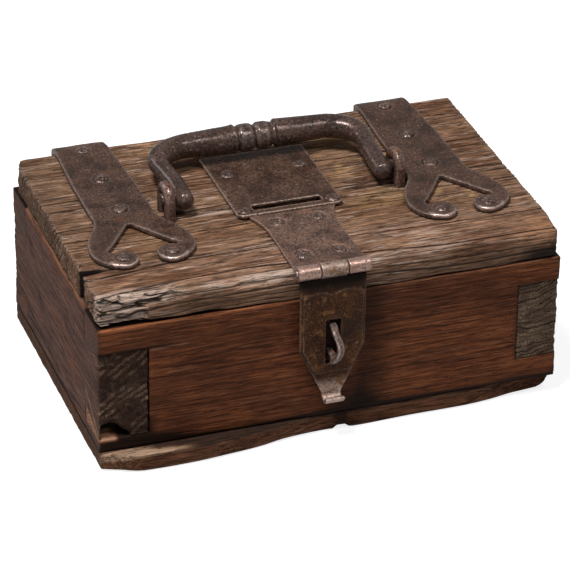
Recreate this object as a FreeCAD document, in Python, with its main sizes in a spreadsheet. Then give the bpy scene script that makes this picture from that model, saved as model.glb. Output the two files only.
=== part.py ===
import FreeCAD, Part
import math
import os
import re

import Sketcher

# Iron-bound offering box: a dovetailed plank box, a two-board lid with a coin slot, forked strap
# hinges, a bail handle and a hasp over a staple. Millimetres, Z up, front towards -Y, origin in the
# middle of the base board's underside.

# Driving sizes in millimetres. Every other size and place is a formula of these.
SIZES = {
    # plank box
    "box_width": 280,
    "box_depth": 180,
    "wall_height": 80,
    "base_thick": 12,
    "base_round": 4,
    "front_thick": 28,
    "back_thick": 28,
    "left_end_thick": 30,
    "right_end_thick": 26,
    "tail_face": 48,
    "tail_root": 28,
    # lid of two boards, pegged edge to edge
    "lid_thick": 18,
    "lid_front_width": 35.5,
    "lid_round": 3,
    "dowel_size": 8,
    "dowel_length": 40,
    "dowel_pitch": 60,
    # forged nails with a square shank
    "nail_head": 7.6,
    "nail_dome": 1.8,
    "nail_side": 0.5,
    "nail_shank": 3,
    "nail_length": 14,
    "nail_ring": 11,
    "nail_sink": 0.8,
    "base_nail_length": 34,
    "base_nail_sink": 2.5,
    "base_nail_inset": 20,
    # strap hinges with forked scroll ends, on the centre line that the handle shares
    "iron_centre": -1.6,
    "strap_inset": 43.5,
    "strap_width": 37.5,
    "strap_thick": 3.5,
    "strap_nail_inset": 6.5,
    "fork_lead": 1.5,
    "fork_nail_lead": 7.5,
    "scroll_span": 62,
    "flare_drop": 16,
    "flare_bow": 1.3,
    "shoulder_rise": 13.5,
    "shoulder_bow": 1.2,
    "curl_bow": 5.4,
    "curl_radius": 9,
    "curl_spread": 29,
    "seam_margin": 2.5,
    "fork_drop": 10,
    "heart_rise": 13.5,
    "heart_width": 36,
    "heart_round": 1.8,
    # hinge knuckles, pins and the leaves on the back board
    "hinge_pin_size": 5,
    "hinge_pin_proud": 1.5,
    "knuckle_wall": 2.7,
    "knuckle_relief": 0.6,
    "knuckle_gap": 0.4,
    "strap_knuckle": 13,
    "pin_play": 0.08,
    "leaf_height": 52,
    "leaf_thick": 3,
    "leaf_bow": 6,
    "leaf_nail_first": 14,
    "leaf_nail_inset": 12,
    # coin slot plate, on the centre line that the lock irons share
    "lock_centre": -2.5,
    "plate_margin": 5.5,
    "plate_depth": 77,
    "plate_thick": 2.4,
    "plate_setback": 66,
    "plate_corner": 4,
    "slot_nail_gap": 6,
    "plate_nail_front_inset": 7,
    "plate_nail_back_spread": 45,
    "plate_nail_back_inset": 53,
    "slot_length": 42,
    "slot_width": 5.4,
    "slot_inset": 10,
    "slot_flare": 0.8,
    # hasp: fixed leaf on the lid, pin and swinging plate
    "hasp_leaf_thick": 2.2,
    "hasp_leaf_back": 53,
    "hasp_leaf_waist": 43,
    "hasp_leaf_waist_drop": 24,
    "hasp_leaf_front": 44,
    "hasp_leaf_bow": 1.5,
    "hasp_nail_back_spread": 25,
    "hasp_nail_back_inset": 10,
    "hasp_nail_front_spread": 22,
    "hasp_nail_front_inset": 15.5,
    "hasp_pin_size": 4,
    "hasp_pin_proud": 0.6,
    "hasp_knuckle_wall": 2.5,
    "hasp_knuckle": 16,
    "barrel_rise": 1.5,
    "barrel_relief": 0.4,
    "hasp_width": 40,
    "hasp_thick": 2.6,
    "shoulder_gap": 0.7,
    "hasp_straight": 51,
    "hasp_tail": 25.2,
    "hasp_tip": 12,
    "hasp_curl_bore": 2.5,
    "facing_thick": 1.2,
    "facing_inset": 1.6,
    "facing_top": 13,
    "facing_lobe": 2.4,
    "facing_short": 14,
    # staple on the front board, and its fit in the hasp's slot
    "staple_bar": 4.6,
    "staple_gap": 15,
    "staple_rise": 4,
    "staple_clear": 4.7,
    "staple_side_play": 2.2,
    "staple_end_play": 2.2,
    "clinch_bend": 4.5,
    "clinch_tail": 8,
    # handle and the eyes that carry it
    "eye_clear": 4.6,
    "eye_gap": 0.8,
    "eye_bar": 5.6,
    "pivot_size": 7.4,
    "pivot_play": 0.3,
    "pivot_height": 10.5,
    "pivot_setback": 87,
    "pivot_proud": 1.5,
    "arm_length": 52,
    "arm_size": 11.4,
    "knob_gap": 0.6,
    "knob_length": 4.5,
    "knob_bevel": 2.6,
    "bend_radius": 21,
    "grip_size": 14,
    "bead_rise": 1.5,
    "bead_land": 0.2,
    "bead_width": 9.5,
    "collar_width": 1.8,
    "collar_lip": 0.6,
    "rest_gap": 4.8,
}

# Levels and lines that several pieces share, as formulas of the sizes.
FRONT = "(-box_depth/2)"
BACK = "(box_depth/2)"
LEFT = "(-box_width/2)"
RIGHT = "(box_width/2)"
INNER_FRONT = f"({FRONT} + front_thick)"
INNER_BACK = f"({BACK} - back_thick)"
JOINT = "(base_thick + wall_height)"
LID_TOP = f"({JOINT} + lid_thick)"
SEAM = f"({FRONT} + lid_front_width)"
PIVOT_Y = f"({FRONT} + pivot_setback)"
STRAP_X = "(box_width/2 - strap_inset)"
FORK = f"({PIVOT_Y} + fork_lead)"
CURL_X = "(curl_spread/2)"
CURL_Y = f"({SEAM} + nail_shank/2 + seam_margin)"
KNUCKLE = "(hinge_pin_size/2 + knuckle_wall)"
HINGE_Y = f"({BACK} + knuckle_relief + {KNUCKLE})"
PLATE_FRONT = f"({FRONT} + plate_setback)"
PLATE_HALF = "(slot_length/2 + slot_nail_gap + plate_margin)"
SLOT_Y = f"({PLATE_FRONT} + slot_inset)"
HASP_KNUCKLE = "(hasp_pin_size/2 + hasp_knuckle_wall)"
BARREL_Y = f"({FRONT} - barrel_relief - {HASP_KNUCKLE})"
BARREL_Z = f"({LID_TOP} + barrel_rise)"
STAPLE_SPAN = "(staple_gap + staple_bar)"
STAPLE_Z = f"({JOINT} - staple_clear - clinch_tail - clinch_bend - {STAPLE_SPAN}/2)"
EYE_SPAN = "(pivot_size + 2*pivot_play + eye_bar)"
EYE_X = f"({STRAP_X} - strap_width/2 - eye_clear - eye_bar/2)"
ARM_X = f"({EYE_X} - eye_bar/2 - eye_gap - arm_size/2)"
BEAD = "(grip_size/2 + bead_rise)"

doc = FreeCAD.newDocument("OfferingBox")
sheet = doc.addObject("Spreadsheet::Sheet", "Sizes")
for row, (name, number) in enumerate(SIZES.items(), start=1):
    sheet.set(f"A{row}", name)
    sheet.set(f"B{row}", str(number))
    sheet.setAlias(f"B{row}", name)
doc.recompute()

subparts = []


def formula(text):
    """The text with each size's name pointed at its cell."""
    return re.sub(r"[a-z_]+", lambda word: f"Sizes.{word[0]}" if word[0] in SIZES else word[0], text)


def value(text):
    return float(sheet.evalExpression(formula(text)))


def bind(thing, target, text):
    thing.setExpression(target, formula(text))


def place(thing, x="0", y="0", z="0"):
    """Put a sub-part at three formulas."""
    for axis, text in zip("xyz", (x, y, z)):
        bind(thing, f"Placement.Base.{axis}", text)


def named(thing, label):
    """Make the object a sub-part, with its own name."""
    thing.Label = label
    subparts.append(thing)
    return thing


def solid(label):
    return named(doc.addObject("PartDesign::Body", label), label)


def origin_plane(owner, plane):
    return next(item for item in owner.Origin.OriginFeatures if item.Role == f"{plane}_Plane")


def sketch(owner, plane, level="0", rise="0"):
    """A sketch on one of the body's own planes, moved along the plane's normal and its second axis."""
    drawing = owner.newObject("Sketcher::SketchObject", "Sketch")
    drawing.AttachmentSupport = (origin_plane(owner, plane), [""])
    drawing.MapMode = "FlatFace"
    bind(drawing, "AttachmentOffset.Base.z", level)
    bind(drawing, "AttachmentOffset.Base.y", rise)
    return drawing


def fix(drawing, curve, end, x, y):
    """Hold one end of a curve at two formulas."""
    for kind, text in (("DistanceX", x), ("DistanceY", y)):
        constraint = Sketcher.Constraint(kind, -1, 1, curve, end, value(text))
        bind(drawing, f"Constraints[{drawing.addConstraint(constraint)}]", text)


def point(x, y):
    return FreeCAD.Vector(value(x), value(y), 0)


def arc_through(start, via, end):
    """A counter-clockwise arc through three points, and whether it runs from end to start."""
    centre = Part.Circle(start, via, end).Center
    first, middle, last = (math.atan2(p.y - centre.y, p.x - centre.x) for p in (start, via, end))
    turn = 2 * math.pi
    backwards = (middle - first) % turn > (last - first) % turn
    if backwards:
        first, last = last, first
    circle = Part.Circle(centre, FreeCAD.Vector(0, 0, 1), start.distanceToPoint(centre))
    return Part.ArcOfCircle(circle, first, first + (last - first) % turn), backwards


def runs(drawing, corners, closed):
    """Lines and arcs through corners. A corner is (x, y), or (x, y, via) where an arc follows it."""
    count = len(corners) if closed else len(corners) - 1
    ends = []
    for number in range(count):
        x, y, *via = corners[number]
        start = point(x, y)
        end = point(*corners[(number + 1) % len(corners)][:2])
        if via:
            arc, backwards = arc_through(start, point(*via[0]), end)
            curve = drawing.addGeometry(arc)
            ends.append((curve, 2, 1) if backwards else (curve, 1, 2))
            mark = drawing.addGeometry(Part.Point(point(*via[0])), True)
            drawing.addConstraint(Sketcher.Constraint("PointOnObject", mark, 1, curve))
            fix(drawing, mark, 1, *via[0])
        else:
            ends.append((drawing.addGeometry(Part.LineSegment(start, end)), 1, 2))
        fix(drawing, ends[-1][0], ends[-1][1], x, y)
    for number in range(count if closed else count - 1):
        curve, _, last = ends[number]
        following, first, _ = ends[(number + 1) % count]
        drawing.addConstraint(Sketcher.Constraint("Coincident", curve, last, following, first))
    if not closed:
        fix(drawing, ends[-1][0], ends[-1][2], *corners[-1][:2])


def outline(drawing, corners):
    runs(drawing, corners, closed=True)
    return drawing


def path(drawing, corners):
    runs(drawing, corners, closed=False)
    return drawing


def bowed(start, end, bow):
    """The point that an arc between two corners passes, a bow to the left of the straight line."""
    across = f"(({end[0]}) - ({start[0]}))"
    along = f"(({end[1]}) - ({start[1]}))"
    length = f"sqrt({across}^2 + {along}^2)"
    x = f"(({start[0]}) + ({end[0]}))/2 - ({bow})*{along}/{length}"
    y = f"(({start[1]}) + ({end[1]}))/2 + ({bow})*{across}/{length}"
    return x, y


def rectangle(drawing, left, low, right, high):
    return outline(drawing, [(left, low), (right, low), (right, high), (left, high)])


def squares(drawing, places, size):
    for x, y in places:
        rectangle(drawing, f"{x} - {size}/2", f"{y} - {size}/2", f"{x} + {size}/2", f"{y} + {size}/2")
    return drawing


def polygons(drawing, places, size, flats):
    """Regular polygons of a size across their corners, a flat towards each side."""
    turns = [f"{360 * (number + 0.5) / flats} deg" for number in range(flats)]
    for x, y in places:
        outline(drawing, [(f"{x} + {size}/2*cos({turn})", f"{y} + {size}/2*sin({turn})") for turn in turns])
    return drawing


def octagons(drawing, places, size):
    """Hand-hammered rounds: nail heads, their seats and pegs."""
    return polygons(drawing, places, size, flats=8)


def circles(drawing, places, diameter):
    for x, y in places:
        curve = drawing.addGeometry(Part.Circle(point(x, y), FreeCAD.Vector(0, 0, 1), value(diameter) / 2))
        fix(drawing, curve, 3, x, y)
        constraint = Sketcher.Constraint("Diameter", curve, value(diameter))
        bind(drawing, f"Constraints[{drawing.addConstraint(constraint)}]", diameter)
    return drawing


def feature(owner, kind, drawing):
    made = owner.newObject(f"PartDesign::{kind}", kind)
    made.Profile = drawing
    return made


def pad(owner, drawing, length, centred=False, backwards=False):
    made = feature(owner, "Pad", drawing)
    bind(made, "Length", length)
    made.Midplane = centred
    made.Reversed = backwards
    doc.recompute()
    return made


def pocket(owner, drawing, depth=None, upwards=False):
    """Cut against the sketch's normal by a depth, or right through both ways."""
    before = owner.Shape.Volume
    made = feature(owner, "Pocket", drawing)
    if depth:
        bind(made, "Length", depth)
        made.Reversed = upwards
    else:
        made.Type = "ThroughAll"
        made.Midplane = True
    doc.recompute()
    if made.Shape.Volume >= before:
        raise RuntimeError(f"a pocket in {owner.Label} cuts nothing")
    return made


def pipe(owner, profile, spine):
    made = feature(owner, "AdditivePipe", profile)
    made.Spine = (spine, [f"Edge{number + 1}" for number in range(len(spine.Shape.Edges))])
    doc.recompute()
    return made


def dress(owner, kind, base, size_name, size, chosen):
    """Fillet or chamfer the edges of a feature whose middle point passes a test."""
    made = owner.newObject(f"PartDesign::{kind}", kind)
    names = [f"Edge{n}" for n, edge in enumerate(base.Shape.Edges, 1) if chosen(edge.CenterOfMass)]
    made.Base = (base, names)
    bind(made, size_name, size)
    doc.recompute()
    return made


def near(number, text):
    return abs(number - value(text)) < 1e-4


def nail(label, length):
    """A forged nail: hammered head above its own origin, square shank below."""
    made = doc.addObject("PartDesign::Body", label)
    head = pad(made, octagons(sketch(made, "XY"), [("0", "0")], "nail_head"), "nail_dome")
    dress(made, "Chamfer", head, "Size", "nail_dome - nail_side", lambda middle: near(middle.z, "nail_dome"))
    pad(made, squares(sketch(made, "XY"), [("0", "0")], "nail_shank"), length, backwards=True)
    return made


def copies(label, master, places, turn=0):
    """Copies of a piece at their places, turned about X, as one group of separate solids."""
    made = []
    for x, y, z in places:
        copy = doc.addObject("App::Link", "Copy")
        copy.LinkedObject = master
        copy.Placement.Rotation = FreeCAD.Rotation(FreeCAD.Vector(1, 0, 0), turn)
        place(copy, x, y, z)
        made.append(copy)
    named(doc.addObject("Part::Compound", label), label).Links = made


def round_pin(label, size, length, x, y, z):
    """A plain pin along X."""
    made = solid(label)
    pad(made, circles(sketch(made, "YZ"), [("0", "0")], size), length, centred=True)
    place(made, x, y, z)


# The base board: one plank under the walls, its lower edges worn round.
base_nail_row = [
    f"({LEFT} + left_end_thick + base_nail_inset)",
    f"({RIGHT} - right_end_thick - base_nail_inset)",
]
front_row = [(x, f"({FRONT} + front_thick/2)") for x in base_nail_row]
back_row = [(x, f"({BACK} - back_thick/2)") for x in base_nail_row]
left_row = [(f"({LEFT} + left_end_thick/2)", "0")]
right_row = [(f"({RIGHT} - right_end_thick/2)", "0")]
base_places = front_row + back_row + left_row + right_row

base_board = solid("base_board")
plank = pad(base_board, rectangle(sketch(base_board, "XY"), LEFT, FRONT, RIGHT, BACK), "base_thick")
dress(base_board, "Fillet", plank, "Radius", "base_round", lambda middle: near(middle.z, "0"))
pocket(base_board, squares(sketch(base_board, "XY"), base_places, "nail_shank"))
head_seats = octagons(sketch(base_board, "XY"), base_places, "nail_head")
pocket(base_board, head_seats, "base_nail_sink", upwards=True)

# Walls: the front and back boards hold the sockets of one large dovetail at each corner.
TAIL_MID = "wall_height/2"
BASE_NAIL_IN_WALL = "(base_nail_length + base_nail_sink - base_thick)"


def pin_board(label, inner, outer, nail_row):
    """A front or back board between two faces, with a dovetail socket in each end."""
    made = solid(label)
    place(made, z="base_thick")
    face = rectangle(sketch(made, "XY"), LEFT, inner, RIGHT, outer)
    pad(made, face, "wall_height")
    socket = [
        (outer, f"{TAIL_MID} - tail_face/2"),
        (inner, f"{TAIL_MID} - tail_root/2"),
        (inner, f"{TAIL_MID} + tail_root/2"),
        (outer, f"{TAIL_MID} + tail_face/2"),
    ]
    pocket(made, outline(sketch(made, "YZ", f"{LEFT} + left_end_thick"), socket), "left_end_thick")
    pocket(made, outline(sketch(made, "YZ", RIGHT), socket), "right_end_thick")
    pocket(made, squares(sketch(made, "XY"), nail_row, "nail_shank"), BASE_NAIL_IN_WALL, upwards=True)
    return made


def tail_board(label, inner_side, thick, nail_row):
    """An end board whose full-height middle lies between the shoulders, with a tail at each end."""
    made = solid(label)
    place(made, z="base_thick")
    low_root, high_root = (f"{TAIL_MID} {sign} tail_root/2" for sign in "-+")
    low_face, high_face = (f"{TAIL_MID} {sign} tail_face/2" for sign in "-+")
    profile = [
        (INNER_FRONT, "0"),
        (INNER_BACK, "0"),
        (INNER_BACK, low_root),
        (BACK, low_face),
        (BACK, high_face),
        (INNER_BACK, high_root),
        (INNER_BACK, "wall_height"),
        (INNER_FRONT, "wall_height"),
        (INNER_FRONT, high_root),
        (FRONT, high_face),
        (FRONT, low_face),
        (INNER_FRONT, low_root),
    ]
    pad(made, outline(sketch(made, "YZ", inner_side), profile), thick)
    pocket(made, squares(sketch(made, "XY"), nail_row, "nail_shank"), BASE_NAIL_IN_WALL, upwards=True)


front_board = pin_board("front_board", INNER_FRONT, FRONT, front_row)
staple_legs = [("lock_centre", f"{STAPLE_Z} - base_thick {sign} {STAPLE_SPAN}/2") for sign in "-+"]
pocket(front_board, squares(sketch(front_board, "XZ"), staple_legs, "staple_bar"))

back_board = pin_board("back_board", INNER_BACK, BACK, back_row)
leaf_nail_pitch = "(leaf_height - leaf_nail_inset - leaf_nail_first)/2"
leaf_nail_levels = [f"(leaf_nail_first + {step}*{leaf_nail_pitch})" for step in range(3)]
leaf_nail_spots = [
    (f"iron_centre {side} {STRAP_X}", f"wall_height - {drop}") for side in "-+" for drop in leaf_nail_levels
]
back_face = sketch(back_board, "XZ", f"-{BACK}")
leaf_nail_holes = squares(back_face, leaf_nail_spots, "nail_shank")
pocket(back_board, leaf_nail_holes, "nail_length - leaf_thick", upwards=True)

tail_board("left_end_board", LEFT, "left_end_thick", left_row)
tail_board("right_end_board", f"{RIGHT} - right_end_thick", "right_end_thick", right_row)

base_nail = nail("base_nail", "base_nail_length")
copies("base_nails", base_nail, [(x, y, "base_nail_sink") for x, y in base_places], turn=180)

# The lid: a wide rear board and a narrow front board, joined by dowels in their edges.
strap_nail_pitch = f"({BACK} - strap_nail_inset - {FORK} - fork_nail_lead)/2"
strap_nails = [("0", f"({BACK} - strap_nail_inset - {step}*{strap_nail_pitch})") for step in range(3)]
strap_nails += [(f"({sign}{CURL_X})", CURL_Y) for sign in ("-", "")]
plate_nails = [
    (f"{sign}({half})", f"({PLATE_FRONT} + {inset})")
    for half, inset in (
        ("slot_length/2 + slot_nail_gap", "plate_nail_front_inset"),
        ("plate_nail_back_spread/2", "plate_nail_back_inset"),
    )
    for sign in ("-", "")
]
hasp_back_nails = [
    (f"({sign}hasp_nail_back_spread/2)", f"({PLATE_FRONT} - hasp_nail_back_inset)") for sign in ("-", "")
]
hasp_front_nails = [
    (f"({sign}hasp_nail_front_spread/2)", f"({FRONT} + hasp_nail_front_inset)") for sign in ("-", "")
]
eye_legs = [
    (f"iron_centre {side} {EYE_X}", f"{PIVOT_Y} {sign} {EYE_SPAN}/2") for side in "-+" for sign in "-+"
]
dowel_spots = [(f"{step}*dowel_pitch", "lid_thick/2") for step in (-1, 0, 1)]


def shifted(places, x):
    return [(f"({x} + {along})", y) for along, y in places]


def lid_board(label, near_edge, far_edge, outer_edge, rounded):
    """A lid board with its outer upper edges worn round, corners too if asked, and the dowel holes."""
    made = solid(label)
    place(made, z=JOINT)
    board = pad(made, rectangle(sketch(made, "XY"), LEFT, near_edge, RIGHT, far_edge), "lid_thick")

    def worn(middle):
        side = near(abs(middle.x), RIGHT)
        outer = near(middle.y, outer_edge)
        return (near(middle.z, "lid_thick") and (side or outer)) or (side and outer and rounded)

    dress(made, "Fillet", board, "Radius", "lid_round", worn)
    seam_face = octagons(sketch(made, "XZ", f"-{SEAM}"), dowel_spots, "dowel_size")
    pocket(made, seam_face, "dowel_length/2", upwards=outer_edge == FRONT)
    return made


def lid_nail_holes(made, places, iron_thick):
    """Holes for nails whose heads sit in an iron of this thickness on the lid."""
    holes = squares(sketch(made, "XY", "lid_thick"), places, "nail_shank")
    pocket(made, holes, f"nail_length - ({iron_thick})")


rear_board = lid_board("lid_rear_board", SEAM, BACK, BACK, rounded=False)
for side in "-+":
    centre = f"iron_centre {side} {STRAP_X}"
    lid_nail_holes(rear_board, shifted(strap_nails, centre), "strap_thick - nail_sink")
lid_nail_holes(rear_board, shifted(plate_nails, "lock_centre"), "plate_thick")
lid_nail_holes(rear_board, shifted(hasp_back_nails, "lock_centre"), "hasp_leaf_thick - nail_sink")
pocket(rear_board, squares(sketch(rear_board, "XY"), eye_legs, "eye_bar"))
lid_slot = sketch(rear_board, "XY")
rectangle(
    lid_slot,
    "lock_centre - slot_length/2 - slot_flare",
    f"{SLOT_Y} - slot_width/2 - slot_flare",
    "lock_centre + slot_length/2 + slot_flare",
    f"{SLOT_Y} + slot_width/2 + slot_flare",
)
pocket(rear_board, lid_slot)

front_lid_board = lid_board("lid_front_board", FRONT, SEAM, FRONT, rounded=True)
lid_nail_holes(front_lid_board, shifted(hasp_front_nails, "lock_centre"), "hasp_leaf_thick - nail_sink")

dowel = doc.addObject("PartDesign::Body", "dowel")
peg = octagons(sketch(dowel, "XZ"), [("0", "0")], "dowel_size")
pad(dowel, peg, "dowel_length", centred=True)
copies("lid_dowels", dowel, [(x, SEAM, f"{JOINT} + {z}") for x, z in dowel_spots])

# Strap hinges. The strap runs forward over the lid, forks and curls into two scrolls round a
# heart-shaped opening. Behind the lid it turns down to a knuckle between the leaf's two.
lid_nail = nail("lid_nail", "nail_length")
WEB_END = f"({KNUCKLE} + knuckle_gap - lid_thick)"


def scroll_half(mirror):
    """Corners of one arm of the fork from the strap's edge round to the fork, right or left half."""
    edge = ("strap_width/2", FORK)
    flare = ("(strap_width + scroll_span)/4", f"{FORK} - flare_drop")
    shoulder = ("scroll_span/2", f"{CURL_Y} + shoulder_rise")
    foot = (CURL_X, f"{CURL_Y} - curl_radius")
    tip = (f"{CURL_X} - curl_radius", CURL_Y)
    neck = (f"{CURL_X} + curl_radius/2", f"{CURL_Y} + curl_radius*sqrt(3)/2")
    heart = ("heart_width/2", f"{CURL_Y} + heart_rise")
    hollow = (f"({neck[0]} + {heart[0]})/2 + heart_round", f"({neck[1]} + {heart[1]})/2")
    spots = [edge, flare, shoulder, foot, neck, heart]
    vias = [
        bowed(edge, flare, "-flare_bow"),
        bowed(flare, shoulder, "shoulder_bow"),
        bowed(shoulder, foot, "curl_bow"),
        tip,
        hollow,
    ]
    if mirror:
        spots = [(f"-({x})", y) for x, y in reversed(spots)]
        vias = [(f"-({x})", y) for x, y in reversed(vias)]
    return [spot + (via,) for spot, via in zip(spots, vias)] + [spots[-1]]


def strap(label, x):
    made = solid(label)
    place(made, x, z=LID_TOP)
    right = [("strap_width/2", BACK)] + scroll_half(mirror=False)
    left = scroll_half(mirror=True) + [("-strap_width/2", BACK)]
    plan = outline(sketch(made, "XY"), right + [("0", f"{FORK} - fork_drop")] + left)
    pad(made, plan, "strap_thick")
    turned_down = [
        (BACK, "0"),
        (BACK, WEB_END),
        (f"{BACK} + strap_thick", WEB_END),
        (f"{BACK} + strap_thick", "0", (f"{BACK} + strap_thick*sqrt(2)/2", "strap_thick*sqrt(2)/2")),
        (BACK, "strap_thick"),
    ]
    pad(made, outline(sketch(made, "YZ"), turned_down), "strap_width", centred=True)
    tongue = rectangle(sketch(made, "YZ"), BACK, "-lid_thick", f"{BACK} + strap_thick", WEB_END)
    pad(made, tongue, "strap_knuckle", centred=True)
    axis = [(HINGE_Y, "-lid_thick")]
    pad(made, circles(sketch(made, "YZ"), axis, f"2*{KNUCKLE}"), "strap_knuckle", centred=True)
    pocket(made, circles(sketch(made, "YZ"), axis, "hinge_pin_size + 2*pin_play"))
    pocket(made, squares(sketch(made, "XY"), strap_nails, "nail_shank"))
    seats = octagons(sketch(made, "XY", "strap_thick"), strap_nails, "nail_ring")
    pocket(made, seats, "nail_sink")


def hinge_leaf(label, x):
    """The plate on the back board that carries the hinge pin in its two outer knuckles."""
    made = solid(label)
    place(made, x, z=JOINT)
    gap = "(strap_knuckle/2 + knuckle_gap)"
    notch = f"-({KNUCKLE} + knuckle_gap)"
    low_right = ("strap_width/2", "leaf_bow - leaf_height")
    low_left = ("-strap_width/2", "leaf_bow - leaf_height")
    corners = [
        low_left + (("0", "-leaf_height"),),
        low_right,
        ("strap_width/2", "0"),
        (gap, "0"),
        (gap, notch),
        (f"-{gap}", notch),
        (f"-{gap}", "0"),
        ("-strap_width/2", "0"),
    ]
    pad(made, outline(sketch(made, "XZ", f"-({BACK} + leaf_thick)"), corners), "leaf_thick")
    axis = [(HINGE_Y, "0")]
    for start in (gap, "-strap_width/2"):
        knuckle = circles(sketch(made, "YZ", start), axis, f"2*{KNUCKLE}")
        pad(made, knuckle, f"strap_width/2 - {gap}")
    pocket(made, circles(sketch(made, "YZ"), axis, "hinge_pin_size"))
    holes = [("0", f"-{drop}") for drop in leaf_nail_levels]
    pocket(made, squares(sketch(made, "XZ"), holes, "nail_shank"))


for side, sign in (("left", "-"), ("right", "+")):
    centre = f"iron_centre {sign} {STRAP_X}"
    strap(f"{side}_strap", centre)
    heads = [(x, y, f"{LID_TOP} + strap_thick - nail_sink") for x, y in shifted(strap_nails, centre)]
    copies(f"{side}_strap_nails", lid_nail, heads)
    hinge_leaf(f"{side}_hinge_leaf", centre)
    heads = [(centre, f"{BACK} + leaf_thick", f"{JOINT} - {drop}") for drop in leaf_nail_levels]
    copies(f"{side}_leaf_nails", lid_nail, heads, turn=-90)
    pin_length = "strap_width + 2*hinge_pin_proud"
    round_pin(f"{side}_hinge_pin", "hinge_pin_size", pin_length, centre, HINGE_Y, JOINT)

# The coin slot plate, nailed over the slot in the rear board.
slot_plate = solid("coin_slot_plate")
place(slot_plate, "lock_centre", z=LID_TOP)
plate_corners = [
    (PLATE_HALF, f"{PLATE_FRONT} + plate_depth"),
    (f"-{PLATE_HALF}", f"{PLATE_FRONT} + plate_depth"),
    (f"-{PLATE_HALF}", PLATE_FRONT),
    (PLATE_HALF, PLATE_FRONT),
]
plate = pad(slot_plate, outline(sketch(slot_plate, "XY"), plate_corners), "plate_thick")


def front_corner(middle):
    return near(middle.y, PLATE_FRONT) and near(abs(middle.x), PLATE_HALF)


dress(slot_plate, "Fillet", plate, "Radius", "plate_corner", front_corner)
plate_slot = sketch(slot_plate, "XY")
rectangle(
    plate_slot,
    "-slot_length/2",
    f"{SLOT_Y} - slot_width/2",
    "slot_length/2",
    f"{SLOT_Y} + slot_width/2",
)
pocket(slot_plate, plate_slot)
pocket(slot_plate, squares(sketch(slot_plate, "XY"), plate_nails, "nail_shank"))
plate_heads = [(x, y, f"{LID_TOP} + plate_thick") for x, y in shifted(plate_nails, "lock_centre")]
copies("slot_plate_nails", lid_nail, plate_heads)

# The hasp's fixed leaf: a waisted plate nailed across both lid boards, rolled into two knuckles.
hasp_gap = "(hasp_knuckle/2 + knuckle_gap)"
waist_y = f"({PLATE_FRONT} - hasp_leaf_waist_drop)"
notch_y = f"({BARREL_Y} + {HASP_KNUCKLE} + knuckle_gap)"
barrel_axis = [(BARREL_Y, "barrel_rise")]

hasp_leaf = solid("hasp_leaf")
place(hasp_leaf, "lock_centre", z=LID_TOP)
back_right, back_left = (("hasp_leaf_back/2", PLATE_FRONT), ("-hasp_leaf_back/2", PLATE_FRONT))
waist_right, waist_left = (("hasp_leaf_waist/2", waist_y), ("-hasp_leaf_waist/2", waist_y))
leaf_plan = [
    back_right,
    back_left + (bowed(back_left, waist_left, "hasp_leaf_bow"),),
    waist_left,
    ("-hasp_leaf_front/2", FRONT),
    ("-hasp_leaf_front/2", BARREL_Y),
    (f"-{hasp_gap}", BARREL_Y),
    (f"-{hasp_gap}", notch_y),
    (hasp_gap, notch_y),
    (hasp_gap, BARREL_Y),
    ("hasp_leaf_front/2", BARREL_Y),
    ("hasp_leaf_front/2", FRONT),
    waist_right + (bowed(waist_right, back_right, "hasp_leaf_bow"),),
]
pad(hasp_leaf, outline(sketch(hasp_leaf, "XY"), leaf_plan), "hasp_leaf_thick")
for start in (hasp_gap, "-hasp_leaf_front/2"):
    roll = circles(sketch(hasp_leaf, "YZ", start), barrel_axis, f"2*{HASP_KNUCKLE}")
    pad(hasp_leaf, roll, f"hasp_leaf_front/2 - {hasp_gap}")
pocket(hasp_leaf, circles(sketch(hasp_leaf, "YZ"), barrel_axis, "hasp_pin_size"))
leaf_nails = hasp_back_nails + hasp_front_nails
pocket(hasp_leaf, squares(sketch(hasp_leaf, "XY"), leaf_nails, "nail_shank"))
leaf_seats = octagons(sketch(hasp_leaf, "XY", "hasp_leaf_thick"), leaf_nails, "nail_ring")
pocket(hasp_leaf, leaf_seats, "nail_sink")
leaf_heads = [
    (x, y, f"{LID_TOP} + hasp_leaf_thick - nail_sink") for x, y in shifted(leaf_nails, "lock_centre")
]
copies("hasp_leaf_nails", lid_nail, leaf_heads)
pin_length = "hasp_leaf_front + 2*hasp_pin_proud"
round_pin("hasp_pin", "hasp_pin_size", pin_length, "lock_centre", BARREL_Y, BARREL_Z)

# The hasp: a slotted plate hanging from its knuckle, faced with a thicker layer whose upper edge
# has two lobes, and tapered to a tip that curls outwards for the finger.
hasp = solid("hasp")
place(hasp, "lock_centre", BARREL_Y, BARREL_Z)
slot_half = "(staple_bar/2 + staple_side_play)"
slot_low, slot_high = (
    f"({STAPLE_Z} - {BARREL_Z} {sign} ({STAPLE_SPAN}/2 + staple_bar/2 + staple_end_play))" for sign in "-+"
)
curl_outer = "(hasp_curl_bore + hasp_thick)"
hasp_foot = f"({slot_low} - hasp_tail)"
taper_end = f"({hasp_foot} + {curl_outer})"
shoulder = f"-({HASP_KNUCKLE} + shoulder_gap)"
blade_right = [
    ("hasp_knuckle/2", "0"),
    ("hasp_knuckle/2", shoulder),
    ("hasp_width/2", shoulder),
    ("hasp_width/2", "-hasp_straight"),
    ("hasp_tip/2", taper_end),
]
blade_left = [(f"-{x}", y) for x, y in reversed(blade_right)]
pad(hasp, outline(sketch(hasp, "XZ"), blade_right + blade_left), "hasp_thick", centred=True)

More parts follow.
